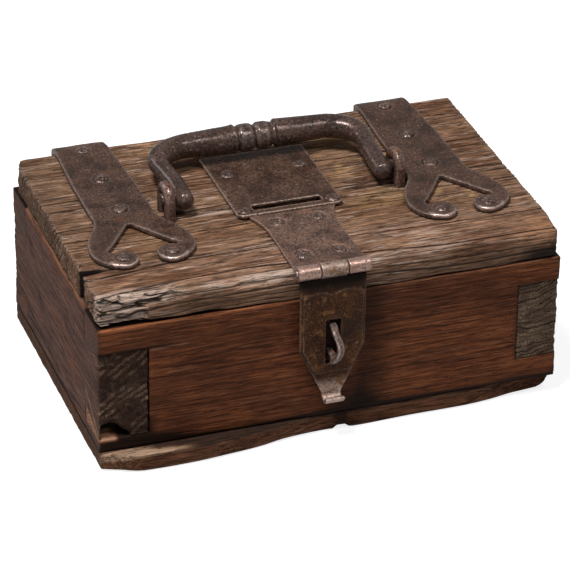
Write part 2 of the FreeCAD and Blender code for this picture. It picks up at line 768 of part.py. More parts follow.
face_edge = "(hasp_width/2 - facing_inset)"
lobe_foot = "-facing_top - facing_lobe"
taper_slope = f"((hasp_width - hasp_tip)/2/(-hasp_straight - {taper_end}))"
facing_end = f"({taper_end} + facing_short)"
end_half = f"(hasp_tip/2 + {taper_slope}*facing_short - facing_inset)"
facing = [
    (face_edge, lobe_foot, (f"{face_edge}/2", "-facing_top")),
    ("0", lobe_foot, (f"-{face_edge}/2", "-facing_top")),
    (f"-{face_edge}", lobe_foot),
    (f"-{face_edge}", "-hasp_straight"),
    (f"-{end_half}", facing_end),
    (end_half, facing_end),
    (face_edge, "-hasp_straight"),
]
pad(hasp, outline(sketch(hasp, "XZ", "hasp_thick/2"), facing), "facing_thick")
curl_y = "(-hasp_thick/2 - hasp_curl_bore)"
curl = [
    ("hasp_thick/2", taper_end, (curl_y, f"{taper_end} - {curl_outer}")),
    (f"{curl_y} - {curl_outer}", taper_end),
    (f"{curl_y} - hasp_curl_bore", taper_end, (curl_y, f"{taper_end} - hasp_curl_bore")),
    ("-hasp_thick/2", taper_end),
]
pad(hasp, outline(sketch(hasp, "YZ"), curl), "hasp_tip", centred=True)
pad(hasp, circles(sketch(hasp, "YZ"), [("0", "0")], f"2*{HASP_KNUCKLE}"), "hasp_knuckle", centred=True)
pocket(hasp, circles(sketch(hasp, "YZ"), [("0", "0")], "hasp_pin_size + 2*pin_play"))
pocket(hasp, rectangle(sketch(hasp, "XZ"), f"-{slot_half}", slot_low, slot_half, slot_high))

# Staples: a square bar bent to a loop, its two legs driven through a board and clinched behind it.


def staple(label, bar, span, rise, board):
    """Loop upwards in the YZ plane, the board's outer face at zero, legs turned outwards below it."""
    made = solid(label)
    leg = f"({span}/2)"
    tail_level = f"(-{board} - clinch_bend)"
    tail_end = f"({leg} + clinch_bend + clinch_tail)"
    bend = "(clinch_bend*sqrt(2)/2)"
    bend_y = f"({leg} + clinch_bend - {bend})"
    bend_z = f"(-{board} - {bend})"
    loop = [
        (f"-{tail_end}", tail_level),
        (f"-({leg} + clinch_bend)", tail_level, (f"-{bend_y}", bend_z)),
        (f"-{leg}", f"-{board}"),
        (f"-{leg}", rise, ("0", f"{rise} + {leg}")),
        (leg, rise),
        (leg, f"-{board}", (bend_y, bend_z)),
        (f"{leg} + clinch_bend", tail_level),
        (tail_end, tail_level),
    ]
    spine = path(sketch(made, "YZ"), loop)
    doc.recompute()
    pipe(made, squares(sketch(made, "XZ", tail_end), [("0", tail_level)], bar), spine)
    return made


hasp_offset = f"({FRONT} - {BARREL_Y})"
staple_reach = f"({hasp_offset} + staple_rise)"
hasp_staple = staple("hasp_staple", "staple_bar", STAPLE_SPAN, staple_reach, "front_thick")
hasp_staple.Placement.Rotation = FreeCAD.Rotation(FreeCAD.Vector(1, 0, 0), 90)
place(hasp_staple, "lock_centre", FRONT, STAPLE_Z)

for side, sign in (("left", "-"), ("right", "+")):
    eye = staple(f"{side}_handle_eye", "eye_bar", EYE_SPAN, "pivot_height", "lid_thick")
    place(eye, f"iron_centre {sign} {EYE_X}", PIVOT_Y, LID_TOP)

# The handle: a bail lying back just clear of the slot plate, stiff in its eyes, with a swelling
# grip, a double bead between collars, and pivots turned outwards. Its right half is mirrored.
handle = solid("handle")
handle.Placement.Rotation = FreeCAD.Rotation(FreeCAD.Vector(1, 0, 0), 1)
place(handle, "iron_centre", PIVOT_Y, f"{LID_TOP} + pivot_height")
lean = f"asin((plate_thick + rest_gap + {BEAD} - pivot_height)/arm_length)"
bind(handle, "Placement.Rotation.Angle", lean)

grip_end = f"({ARM_X} - bend_radius)"
arm_end = "(arm_size/2 + knob_gap - pivot_height - knob_length)"
flat_share = "cos(11.25 deg)"


def bar_section(x, size):
    """The handle's near-round bar, hammered to sixteen flats."""
    return polygons(sketch(handle, "YZ", x), [("arm_length", "0")], size, flats=16)


def bead_rim(middle):
    radius = math.hypot(middle.y - value("arm_length"), middle.z)
    return (near(middle.x, "0") or near(middle.x, "bead_width")) and radius > value("grip_size/2")


grip = pad(handle, bar_section("0", "grip_size"), grip_end)
fall = f"(grip_size - arm_size)/2*{flat_share}"
taper = dress(handle, "Chamfer", grip, "Size", fall, lambda middle: near(middle.x, grip_end))
taper.ChamferType = "Two distances"
taper.FlipDirection = True
bind(taper, "Size2", f"{grip_end} - bead_width - collar_width")
doc.recompute()
bead = pad(handle, bar_section("0", f"(2*{BEAD})"), "bead_width")
dress(handle, "Chamfer", bead, "Size", f"bead_rise*{flat_share} - bead_land", bead_rim)
pad(handle, bar_section("bead_width", "(grip_size + 2*collar_lip)"), "collar_width")
bend_middle = "bend_radius*sqrt(2)/2"
arm_path = [
    (grip_end, "arm_length", (f"{grip_end} + {bend_middle}", f"arm_length - bend_radius + {bend_middle}")),
    (ARM_X, "arm_length - bend_radius"),
    (ARM_X, arm_end),
]
arm_spine = path(sketch(handle, "XY"), arm_path)
doc.recompute()
arm = pipe(handle, bar_section(grip_end, "arm_size"), arm_spine)
dress(handle, "Chamfer", arm, "Size", "knob_bevel", lambda middle: near(middle.y, arm_end))
pivot_reach = f"{EYE_X} + eye_bar/2 + pivot_proud - {ARM_X}"
pad(handle, circles(sketch(handle, "YZ", ARM_X), [("0", "0")], "pivot_size"), pivot_reach)
both_halves = handle.newObject("PartDesign::Mirrored", "Mirrored")
both_halves.TransformMode = "Whole shape"
both_halves.MirrorPlane = (origin_plane(handle, "YZ"), [""])
handle.Tip = both_halves

doc.recompute()
for item in doc.Objects:
    if "Invalid" in item.State or "Error" in item.State:
        raise RuntimeError(f"{item.Label} failed: {item.State}")
for item in subparts:
    if item.Shape.isNull() or not item.Shape.isValid():
        raise RuntimeError(f"{item.Label} has no valid shape")

os.makedirs("parts", exist_ok=True)
for item in subparts:
    item.Shape.exportStep(f"parts/{item.Label}.step")
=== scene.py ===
import math

import bmesh
import bpy
import numpy
from mathutils import Matrix, Vector


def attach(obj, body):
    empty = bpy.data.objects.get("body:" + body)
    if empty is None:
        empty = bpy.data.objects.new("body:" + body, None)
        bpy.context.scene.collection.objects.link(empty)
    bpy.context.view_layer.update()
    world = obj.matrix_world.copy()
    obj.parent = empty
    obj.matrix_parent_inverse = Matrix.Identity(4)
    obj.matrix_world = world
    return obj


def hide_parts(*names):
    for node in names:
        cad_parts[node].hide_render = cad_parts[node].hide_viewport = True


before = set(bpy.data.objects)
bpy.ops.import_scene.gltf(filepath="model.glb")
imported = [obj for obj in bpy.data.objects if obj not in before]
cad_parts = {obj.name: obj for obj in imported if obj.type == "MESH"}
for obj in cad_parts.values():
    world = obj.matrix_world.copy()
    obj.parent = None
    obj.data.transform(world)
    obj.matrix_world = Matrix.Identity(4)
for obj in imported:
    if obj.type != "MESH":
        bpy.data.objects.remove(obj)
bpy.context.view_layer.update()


# Base board
# A softwood plank as large as the box, nailed to the walls from below. Its front edge bows out at
# the left and draws back at the right, and its lower edges are worn round from standing on stone.

def saw_lines(start, *runs):
    """Saw lines in mm from start, through runs of (end, spacing)."""
    marks = [numpy.array([start], float)]
    for end, spacing in runs:
        first = marks[-1][-1]
        count = max(1, round(abs(end - first) / spacing))
        marks.append(numpy.linspace(first, end, count + 1)[1:])
    return numpy.concatenate(marks)


def sawn_block(xs, ys, zs, cut_away=None):
    """Points and faces of a block divided at the saw lines, less the cells that are cut away."""
    middles = numpy.meshgrid(*[(a[1:] + a[:-1]) / 2 for a in (xs, ys, zs)], indexing="ij")
    wood = numpy.ones(middles[0].shape, bool)
    if cut_away:
        wood &= ~cut_away(*middles)
    padded = numpy.pad(wood, 1).astype(numpy.int8)
    counts = numpy.array([len(xs), len(ys), len(zs)])
    quads = []
    for axis in range(3):
        change = numpy.diff(padded, axis=axis)
        second, third = (axis + 1) % 3, (axis + 2) % 3
        for way in (1, -1):
            cells = numpy.argwhere(change == way)
            cells[:, second] -= 1
            cells[:, third] -= 1
            ring = []
            for b, c in ((0, 0), (1, 0), (1, 1), (0, 1)):
                corner = cells.copy()
                corner[:, second] += b
                corner[:, third] += c
                ring.append((corner[:, 0] * counts[1] + corner[:, 1]) * counts[2] + corner[:, 2])
            quads.append(numpy.stack(ring if way < 0 else ring[::-1], axis=1))
    used, faces = numpy.unique(numpy.concatenate(quads), return_inverse=True)
    i, rest = numpy.divmod(used, counts[1] * counts[2])
    j, k = numpy.divmod(rest, counts[2])
    return numpy.stack([xs[i], ys[j], zs[k]], axis=1), faces.reshape(-1, 4)


def drift(points, pitch, seed):
    """Smooth random change from -1 to 1 in space; pitch is its size along each axis in mm."""
    place = points / numpy.array(pitch, float) + seed * 17.31 + 4096
    cell = numpy.floor(place).astype(numpy.uint32)
    share = place - cell
    share = share * share * (3 - 2 * share)
    total = numpy.zeros(len(points))
    for corner in numpy.ndindex(2, 2, 2):
        at = cell + numpy.array(corner, numpy.uint32)
        mixed = at[:, 0] * numpy.uint32(0x8DA6B343)
        mixed ^= at[:, 1] * numpy.uint32(0xD8163841)
        mixed ^= at[:, 2] * numpy.uint32(0xCB1AB31F)
        mixed = (mixed ^ (mixed >> numpy.uint32(13))) * numpy.uint32(0x5BD1E995)
        mixed ^= mixed >> numpy.uint32(15)
        weight = numpy.prod(numpy.where(numpy.array(corner) == 1, share, 1 - share), axis=1)
        total += weight * (mixed / 2147483648.0 - 1)
    return total


def step(value, low, high):
    """0 below low, 1 above high, and smooth between them."""
    share = numpy.clip((value - low) / (high - low), 0, 1)
    return share * share * (3 - 2 * share)


def band(value, low, rise, fall, high):
    """0 below low and above high, 1 from rise to fall, and smooth between them."""
    return step(value, low, rise) * step(-value, -high, -fall)


def bell(value, width):
    """1 where the value is 0, and fading out over a width on both sides."""
    return numpy.exp(-(value / width) ** 2)


def eased(points, low, high, radius):
    """The block with its outer edges rounded to a radius that may change along them."""
    reach = radius[:, None]
    core = numpy.clip(points, numpy.array(low) + reach, numpy.array(high) - reach)
    off = points - core
    length = numpy.linalg.norm(off, axis=1, keepdims=True)
    return numpy.where(length > reach, core + off * reach / numpy.maximum(length, 1e-9), points)


def outward(points, faces):
    """The outward direction at each point."""
    a, b, c = (points[faces[:, n]] for n in (0, 1, 2))
    square = numpy.cross(b - a, c - a)
    total = numpy.zeros_like(points)
    for n in range(faces.shape[1]):
        for axis in range(3):
            total[:, axis] += numpy.bincount(faces[:, n], square[:, axis], len(points))
    return total / numpy.maximum(numpy.linalg.norm(total, axis=1, keepdims=True), 1e-12)


def edge_wear(points, low, high, depth):
    """How worn each point is, from 1 on an outer edge to 0 inside the faces."""
    to_face = numpy.minimum(points - numpy.array(low), numpy.array(high) - points)
    near = numpy.sort(to_face, axis=1)[:, 1]
    return numpy.exp(-numpy.maximum(near, 0) / depth)


def growth(points, along, heart, spacing, seed):
    """Growth-ring number at each point of a plank with its grain along one axis."""
    axes = [axis for axis in range(3) if axis != along]
    slow, quick = [20.0, 20.0, 20.0], [6.0, 6.0, 6.0]
    slow[along], quick[along] = 130.0, 45.0
    radius = numpy.linalg.norm(points[:, axes] - numpy.array(heart), axis=1)
    wander = 4.5 * drift(points, slow, seed) + 1.3 * drift(points, quick, seed + 3)
    return (radius + wander) / spacing


def ridges(ring):
    """Height of the weathered grain: 1 on a hard ring and 0 in the groove between two."""
    turn = ring % 1
    groove = bell(numpy.minimum(turn, 1 - turn), 0.14)
    strength = (numpy.sin(numpy.round(ring) * 12.9898) * 43758.5453) % 1
    fine = bell(numpy.abs(ring * 3 % 1 - 0.5), 0.2)
    return 1 - groove * (0.35 + 0.65 * strength) - 0.22 * fine * (1 - groove)


def cornered(points, axes, corner, radius):
    """Rounds one corner of the board, seen along the third axis, to a radius."""
    here = numpy.array(corner, float)
    middle = here - numpy.sign(here - points[:, axes].mean(0)) * radius
    off = points[:, axes] - middle
    outside = numpy.all(off * numpy.sign(here - middle) > 0, axis=1)
    length = numpy.linalg.norm(off, axis=1)
    pull = numpy.where(outside & (length > radius), radius / numpy.maximum(length, 1e-9), 1)
    points[:, axes] = middle + off * pull[:, None]


metre = 1000  # mm: the box is sized in mm here, and stands in the scene in metres


def in_scene(name, data):
    """A new object in the scene."""
    made = bpy.data.objects.new(name, data)
    bpy.context.scene.collection.objects.link(made)
    return made


def put_up(name, points, faces, material, body, nodes, slot, **marks):
    """Makes the mesh of a finished piece, with its marks, and fixes it to its body."""
    mesh = bpy.data.meshes.new(name)
    mesh.from_pydata((points / metre).tolist(), [], faces.tolist())
    for mark, values in marks.items():
        layer = mesh.attributes.new(mark, "FLOAT", "POINT")
        layer.data.foreach_set("value", values.astype(numpy.float32))
    mesh.shade_smooth()
    mesh.materials.append(material)
    piece = in_scene(name, mesh)
    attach(piece, body)
    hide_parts(*nodes)


def node(tree, kind, inputs=(), **settings):
    """A new node with its settings, and its inputs joined to sockets or set to values."""
    made = tree.nodes.new(kind)
    for setting, value in settings.items():
        setattr(made, setting, value)
    for socket, value in dict(inputs).items():
        if isinstance(value, bpy.types.NodeSocket):
            tree.links.new(value, made.inputs[socket])
        else:
            made.inputs[socket].default_value = value
    return made


def sums(tree, operation, first, second=0.0, third=0.0):
    """The result of one sum on values."""
    return node(tree, "ShaderNodeMath", {0: first, 1: second, 2: third}, operation=operation).outputs[0]


def between(tree, value, low, high):
    """A mask from 0 below low to 1 above high."""
    made = node(tree, "ShaderNodeMapRange", {"Value": value, "From Min": low, "From Max": high},
                interpolation_type="SMOOTHSTEP")
    return made.outputs["Result"]


def stain(tree, share, ground, over, how="MIX"):
    """One colour laid over another by a share."""
    made = node(tree, "ShaderNodeMix", {0: share, 6: ground, 7: over}, data_type="RGBA", blend_type=how)
    return made.outputs[2]


def grained(tree, vector, pitch, detail=4.0, rough=0.6, bend=0.0):
    """Fine random change, with a pitch along each axis in mm."""
    turned = node(tree, "ShaderNodeMapping", {"Vector": vector, "Scale": [metre / p for p in pitch]})
    made = node(tree, "ShaderNodeTexNoise", {"Vector": turned.outputs[0], "Scale": 1.0, "Detail": detail,
                                             "Roughness": rough, "Distortion": bend})
    return made.outputs["Fac"]


def new_group(name, inputs, outputs):
    """An empty shader group with named sockets, and its two end nodes."""
    tree = bpy.data.node_groups.new(name, "ShaderNodeTree")
    for socket, kind in inputs:
        tree.interface.new_socket(socket, in_out="INPUT", socket_type="NodeSocket" + kind)
    for socket, kind in outputs:
        tree.interface.new_socket(socket, in_out="OUTPUT", socket_type="NodeSocket" + kind)
    return tree, tree.nodes.new("NodeGroupInput").outputs, tree.nodes.new("NodeGroupOutput")


timber, given, made = new_group(
    "timber",
    [("Vector", "Vector"), ("Ring", "Float"), ("Wear", "Float"), ("Soil", "Float"), ("Warm", "Float"),
     ("Bleach", "Float"), ("Lines", "Float"), ("Mottling", "Float"), ("Dullness", "Float"),
     ("Hard wood", "Color"), ("Groove", "Color"), ("Bleached", "Color"), ("Patch", "Color"),
     ("Rubbed", "Color"), ("Grime", "Color")],
    [("Color", "Color"), ("Roughness", "Float"), ("Height", "Float")])
fibres = grained(timber, given["Vector"], (18, 0.85, 0.85), 6.0, 0.75)
streaks = grained(timber, given["Vector"], (60, 3.0, 3.0), 4.0, 0.6, 0.5)
patches = grained(timber, given["Vector"], (48, 20, 20), 4.0, 0.6)
mottle = grained(timber, given["Vector"], (13, 4.5, 4.5), 5.0, 0.65)
pores = between(timber, grained(timber, given["Vector"], (9, 0.95, 0.95), 4.0, 0.65), 0.58, 0.66)
turn = sums(timber, "FRACT", given["Ring"])
groove = sums(timber, "MAXIMUM", between(timber, turn, 0.20, 0.03), between(timber, turn, 0.82, 0.98))
tone = node(timber, "ShaderNodeTexWhiteNoise", {"W": sums(timber, "ROUND", given["Ring"])},
            noise_dimensions="1D").outputs["Value"]
strength = sums(timber, "MULTIPLY_ADD", sums(timber, "POWER", tone, 1.6), 0.85, 0.15)
groove = sums(timber, "MULTIPLY", groove, strength)
broken = between(timber, mottle, 0.28, 0.52)
groove = sums(timber, "MULTIPLY", sums(timber, "MULTIPLY", groove, broken), given["Lines"])
wood_colour = stain(timber, between(timber, patches, 0.40, 0.64), given["Hard wood"], given["Patch"])
mottling = sums(timber, "MULTIPLY", sums(timber, "SUBTRACT", mottle, 0.5), given["Mottling"])
shade = sums(timber, "MULTIPLY_ADD", fibres, 5.2, -1.6)
shade = sums(timber, "MULTIPLY", shade, sums(timber, "ADD", mottling, 1.0))
shade = sums(timber, "MAXIMUM", shade, 0.14)
tint = node(timber, "ShaderNodeCombineColor", {0: shade, 1: shade, 2: shade})
wood_colour = stain(timber, 1.0, wood_colour, tint.outputs[0], "MULTIPLY")
rubbed = sums(timber, "MULTIPLY", given["Warm"], between(timber, fibres, 0.30, 0.62))
wood_colour = stain(timber, rubbed, wood_colour, given["Rubbed"])
bleach = sums(timber, "MULTIPLY", between(timber, streaks, 0.48, 0.66), between(timber, fibres, 0.46, 0.64))
bleach = sums(timber, "MULTIPLY", bleach, given["Bleach"])
splinter = sums(timber, "MULTIPLY", given["Wear"], between(timber, fibres, 0.36, 0.58))
wood_colour = stain(timber, sums(timber, "MAXIMUM", bleach, splinter), wood_colour, given["Bleached"])
lines = sums(timber, "MAXIMUM", sums(timber, "MULTIPLY", pores, 0.85), sums(timber, "MINIMUM", groove, 1.0))
wood_colour = stain(timber, lines, wood_colour, given["Groove"])
# The soil mark darkens the wood as real grime and as painted shade in corners, gaps and under parts.
wood_colour = stain(timber, given["Soil"], wood_colour, given["Grime"])
timber.links.new(wood_colour, made.inputs["Color"])
timber.links.new(sums(timber, "MULTIPLY_ADD", fibres, -0.30, given["Dullness"]), made.inputs["Roughness"])
grain_height = sums(timber, "MULTIPLY_ADD", groove, -1.0, sums(timber, "MULTIPLY_ADD", pores, -0.6, fibres))
timber.links.new(sums(timber, "ADD", mottling, grain_height), made.inputs["Height"])


def new_finish(name, effect, marks, values, colours, depth, gloss):
    """A material with a shared effect, which reads the marks of its piece; depth is its relief in mm."""
    material = bpy.data.materials.new(name)
    material.use_nodes = True
    tree = material.node_tree
    shader = tree.nodes["Principled BSDF"]
    group = node(tree, "ShaderNodeGroup", node_tree=effect)
    for mark in marks:
        layer = node(tree, "ShaderNodeAttribute", attribute_name=mark.lower())
        tree.links.new(layer.outputs["Fac"], group.inputs[mark])
    for socket, value in values.items():
        group.inputs[socket].default_value = value
    for socket, colour in colours.items():
        group.inputs[socket].default_value = (*colour, 1)
    relief = node(tree, "ShaderNodeBump", {"Height": group.outputs["Height"], "Strength": 1.0,
                                           "Distance": depth / metre})
    tree.links.new(relief.outputs["Normal"], shader.inputs["Normal"])
    shader.inputs["Specular IOR Level"].default_value = gloss
    return material, shader, group


def wood_finish(name, colours, bleach, lines, mottling, dullness, depth, gloss, turned=False):
    """A weathered timber in its colours; turned is for grain along the depth of the box."""
    material, shader, group = new_finish(
        name, timber, ("Ring", "Wear", "Soil", "Warm"),
        {"Bleach": bleach, "Lines": lines, "Mottling": mottling, "Dullness": dullness}, colours, depth, gloss)
    tree = material.node_tree
    place = node(tree, "ShaderNodeTexCoord").outputs["Object"]
    if turned:
        place = node(tree, "ShaderNodeMapping", {"Vector": place, "Rotation": (0, 0, math.pi / 2)}).outputs[0]
    tree.links.new(place, group.inputs["Vector"])
    tree.links.new(group.outputs["Color"], shader.inputs["Base Color"])
    tree.links.new(group.outputs["Roughness"], shader.inputs["Roughness"])
    return material


base_timber = wood_finish("base_timber", {
    "Hard wood": (0.098, 0.040, 0.020), "Groove": (0.017, 0.007, 0.005), "Bleached": (0.40, 0.27, 0.18),
    "Patch": (0.064, 0.024, 0.011), "Rubbed": (0.36, 0.20, 0.12), "Grime": (0.010, 0.006, 0.005)},
    bleach=0.16, lines=0.9, mottling=1.2, dullness=0.85, depth=0.35, gloss=0.07)
half_length, half_depth, base_thick = 140, 90, 12
bow_out, draw_back = 9.5, 8
base_low, base_high = (-half_length, -half_depth, 0), (half_length, half_depth, base_thick)
points, faces = sawn_block(saw_lines(-half_length, (-134, 1), (134, 2.5), (half_length, 1)),
                           saw_lines(-half_depth, (-80, 0.8), (84, 3), (half_depth, 0.8)),
                           saw_lines(0, (base_thick, 0.7)))
edge = 1.3 + 0.9 * drift(points, (24, 24, 60), 1)
points = eased(points, base_low, base_high, numpy.clip(edge, 0.5, 2.6))
cornered(points, [0, 2], (half_length, 0), 11)
cornered(points, [0, 2], (-half_length, 0), 2.5)
x, y, z = points.T
notch = band(x, 1.5, 4, 9, 12) * step(-y, 78, 86)
wane = (0.5 + 0.5 * drift(points, (30, 300, 300), 4)) * step(-y, 60, 88) + 2.0 * notch
points[:, 2] += wane * step(-z, -7, 0)
bow = bow_out * band(x, -145, -115, -85, 0) - draw_back * step(x, 80, 150)
points[:, 1] -= bow * step(-y, 30, 82)
ring = growth(points, 0, (40, -60), 3.4, 2)
points -= outward(points, faces) * (0.3 + 0.3 * drift(points, (26, 3, 2.2), 5))[:, None]
ledge = step(-y, 94, 95.5) * step(z, 9.3, 10.8) * step(-x, 80, 104)
tear_line = z - 0.22 * (x + 138) - 1.5 * drift(points, (7, 60, 5), 6)
torn = step(-x, 96, 122) * step(-y, 88, 92) * step(tear_line, 4.5, 6.5)
top_rub = numpy.clip(ledge + torn, 0, 1)
# Painted shade: the top of the base is darkened along the foot of the front wall.
under_wall = step(z, 10.2, 11.2) * step(y + 9 * step(x, -102, -72), -96, -92)
put_up("worn_base_board", points, faces, base_timber, "box", ["base_board"], "base_wood", ring=ring,
       wear=numpy.maximum(0.25 * edge_wear(points, base_low, base_high, 1.6), 0.95 * top_rub),
       soil=numpy.clip(0.85 * under_wall * (1 - top_rub) + 0.7 * notch, 0, 0.95), warm=0.5 * top_rub)


# Front and back boards
# Two softwood planks with the sockets of the corner joints cut through their ends.
# The front is smooth and red-brown from handling; the back is the same timber, less worn.

wall_low, wall_high, wall_thick = base_thick, 92, 28
inner_face = half_depth - wall_thick
left_wall, right_wall = -110, 114
left_tail, right_tail = (19.5, 76.0), (27.0, 77.5)
tail_slope, chip_depth = 10, 8
hair = 0.01  # mm, for telling on which side of a joint a point is
wall_timber = wood_finish("wall_timber", {
    "Hard wood": (0.136, 0.043, 0.0168), "Groove": (0.026, 0.009, 0.005), "Bleached": (0.30, 0.17, 0.10),
    "Patch": (0.080, 0.026, 0.0115), "Rubbed": (0.30, 0.095, 0.034), "Grime": (0.007, 0.004, 0.003)},
    bleach=0.22, lines=1.0, mottling=0.45, dullness=0.72, depth=0.16, gloss=0.07)


def dovetail(points, play):
    """Narrows the joints towards the inner faces, so that each tail is a wedge in its socket."""
    x, y, z = points.T
    depth = numpy.clip((half_depth - numpy.abs(y)) / wall_thick, 0, 1) * tail_slope + play
    for at_end, (low, high) in ((x < left_wall + hair, left_tail), (x > right_wall - hair, right_tail)):
        in_joint = at_end & (numpy.abs(y) > inner_face - hair) & (z > low - hair) & (z < high + hair)
        middle = (low + high) / 2
        closer = middle + (z - middle) * (1 - 2 * depth / (high - low))
        points[:, 2] = numpy.where(in_joint, closer, z)


def joint_room(x, y, z):
    """Where a tail of an end board stands in a front or back board."""
    left = (x < left_wall) & (z > left_tail[0]) & (z < left_tail[1])
    return left | ((x > right_wall) & (z > right_tail[0]) & (z < right_tail[1]))


wall_lines = saw_lines(wall_low, (15, 0.7), (left_tail[0], 0.8), (right_tail[0], 0.8), (left_tail[1], 0.8),
                       (right_tail[1], 0.8), (89, 0.8), (wall_high, 0.7))
for name, way, seed in (("front_board", -1, 11), ("back_board", 1, 15)):
    near, far = sorted((way * inner_face, way * half_depth))
    low, high = (-half_length, near, wall_low), (half_length, far, wall_high)
    points, faces = sawn_block(
        saw_lines(-half_length, (-136, 1), (left_wall, 2.6), (right_wall, 2.8), (136, 2.6), (half_length, 1)),
        saw_lines(near, (near + 3, 1), (far - 3, 3.7), (far, 1)), wall_lines, joint_room)
    dovetail(points, 0)
    edge = numpy.clip(1.0 + 0.7 * drift(points, (20, 20, 20), seed), 0.35, 2.2)
    points = eased(points, low, high, edge)
    ring = growth(points, 0, (20 * way, 150), 3.1, seed)
    away = outward(points, faces)
    x, y, z = points.T
    between_joints = (x > left_wall + hair) & (x < right_wall - hair)
    away[:, 2] *= between_joints | (z > 88)
    points -= away * (0.16 + 0.16 * drift(points, (40, 3, 2.2), seed + 2))[:, None]
    points = numpy.clip(points, low, high)
    x, y, z = points.T
    face = step(numpy.abs(y), 84, 89)
    front = step(-y, 84, 89)
    front_end = step(-y, 60, 66)
    rim = step(z, 89.8, 91.2) * step(numpy.abs(y), 88.2, 89)
    warm = 0.9 * rim * step(-x, -60, 80)
    warm += 0.4 * face * step(drift(points, (70, 60, 22), seed + 5), 0.0, 0.7)
    # Painted shade darkens the foot of each wall at the base; the dark band at each end is end grain, and the
    # low patches are dirt.
    grime = 0.9 * step(-z, -15.5, -12.6) + 0.35 * step(numpy.abs(x), 137.6, 139)
    grime += 0.5 * step(-z, -32, -12) * face * step(drift(points, (50, 50, 9), 17), -0.2, 0.6)
    # Painted shade on the top of each wall, under the lid.
    grime += 0.9 * step(z, 90.6, 91.6) * step(-numpy.abs(y), -88.6, -87.6)
    # Painted shade behind the hasp and its painted shadow to its right; the wall is also darker below the
    # hasp, and along a crack.
    behind_hasp = 0.9 * step(-numpy.abs(x + 2), -10, -7) * step(-numpy.abs(z - 66), -17, -13)
    beside_hasp = 0.6 * band(x, 10, 18, 22, 42)
    under_hasp = 0.5 * bell(x - 8, 12) * step(-z, -40, -22)
    crack = 0.9 * step(-x, 86, 100) * bell(z - left_tail[1] - 0.5, 0.9)
    grime += front * (behind_hasp + beside_hasp + under_hasp + crack)
    # The left end is darker along its foot and dark on the top of the pin below the tail.
    pin_top = front_end * step(-x, 104, 112) * band(z, 17.6, 19.0, 30, 34)
    torn = pin_top * step(-x - 0.25 * (y + half_depth), 128, 130.5)
    foot = band(x, -139.5, -138, -112, -60) * step(-z, -21, -15.5)
    grime += front_end * (0.85 * foot + 0.95 * pin_top)
    lip = front * step(-numpy.abs(x + 98), -15, -8) * bell(z - left_tail[1] + 1.2, 0.7)
    lip *= x > left_wall
    put_up("worn_" + name, points, faces, wall_timber, "box", [name], "box_wood", ring=ring,
           wear=numpy.maximum(0.4 * edge_wear(points, low, high, 0.9), torn + 0.7 * lip),
           soil=numpy.clip(grime, 0, 0.95) * (1 - torn), warm=numpy.maximum(warm, 0.8 * torn))


# End boards
# Two thick planks with one large dovetail at each end, which shows its dark end grain in the
# front and back of the box. Their faces are dark and smooth, with the grain along the depth.

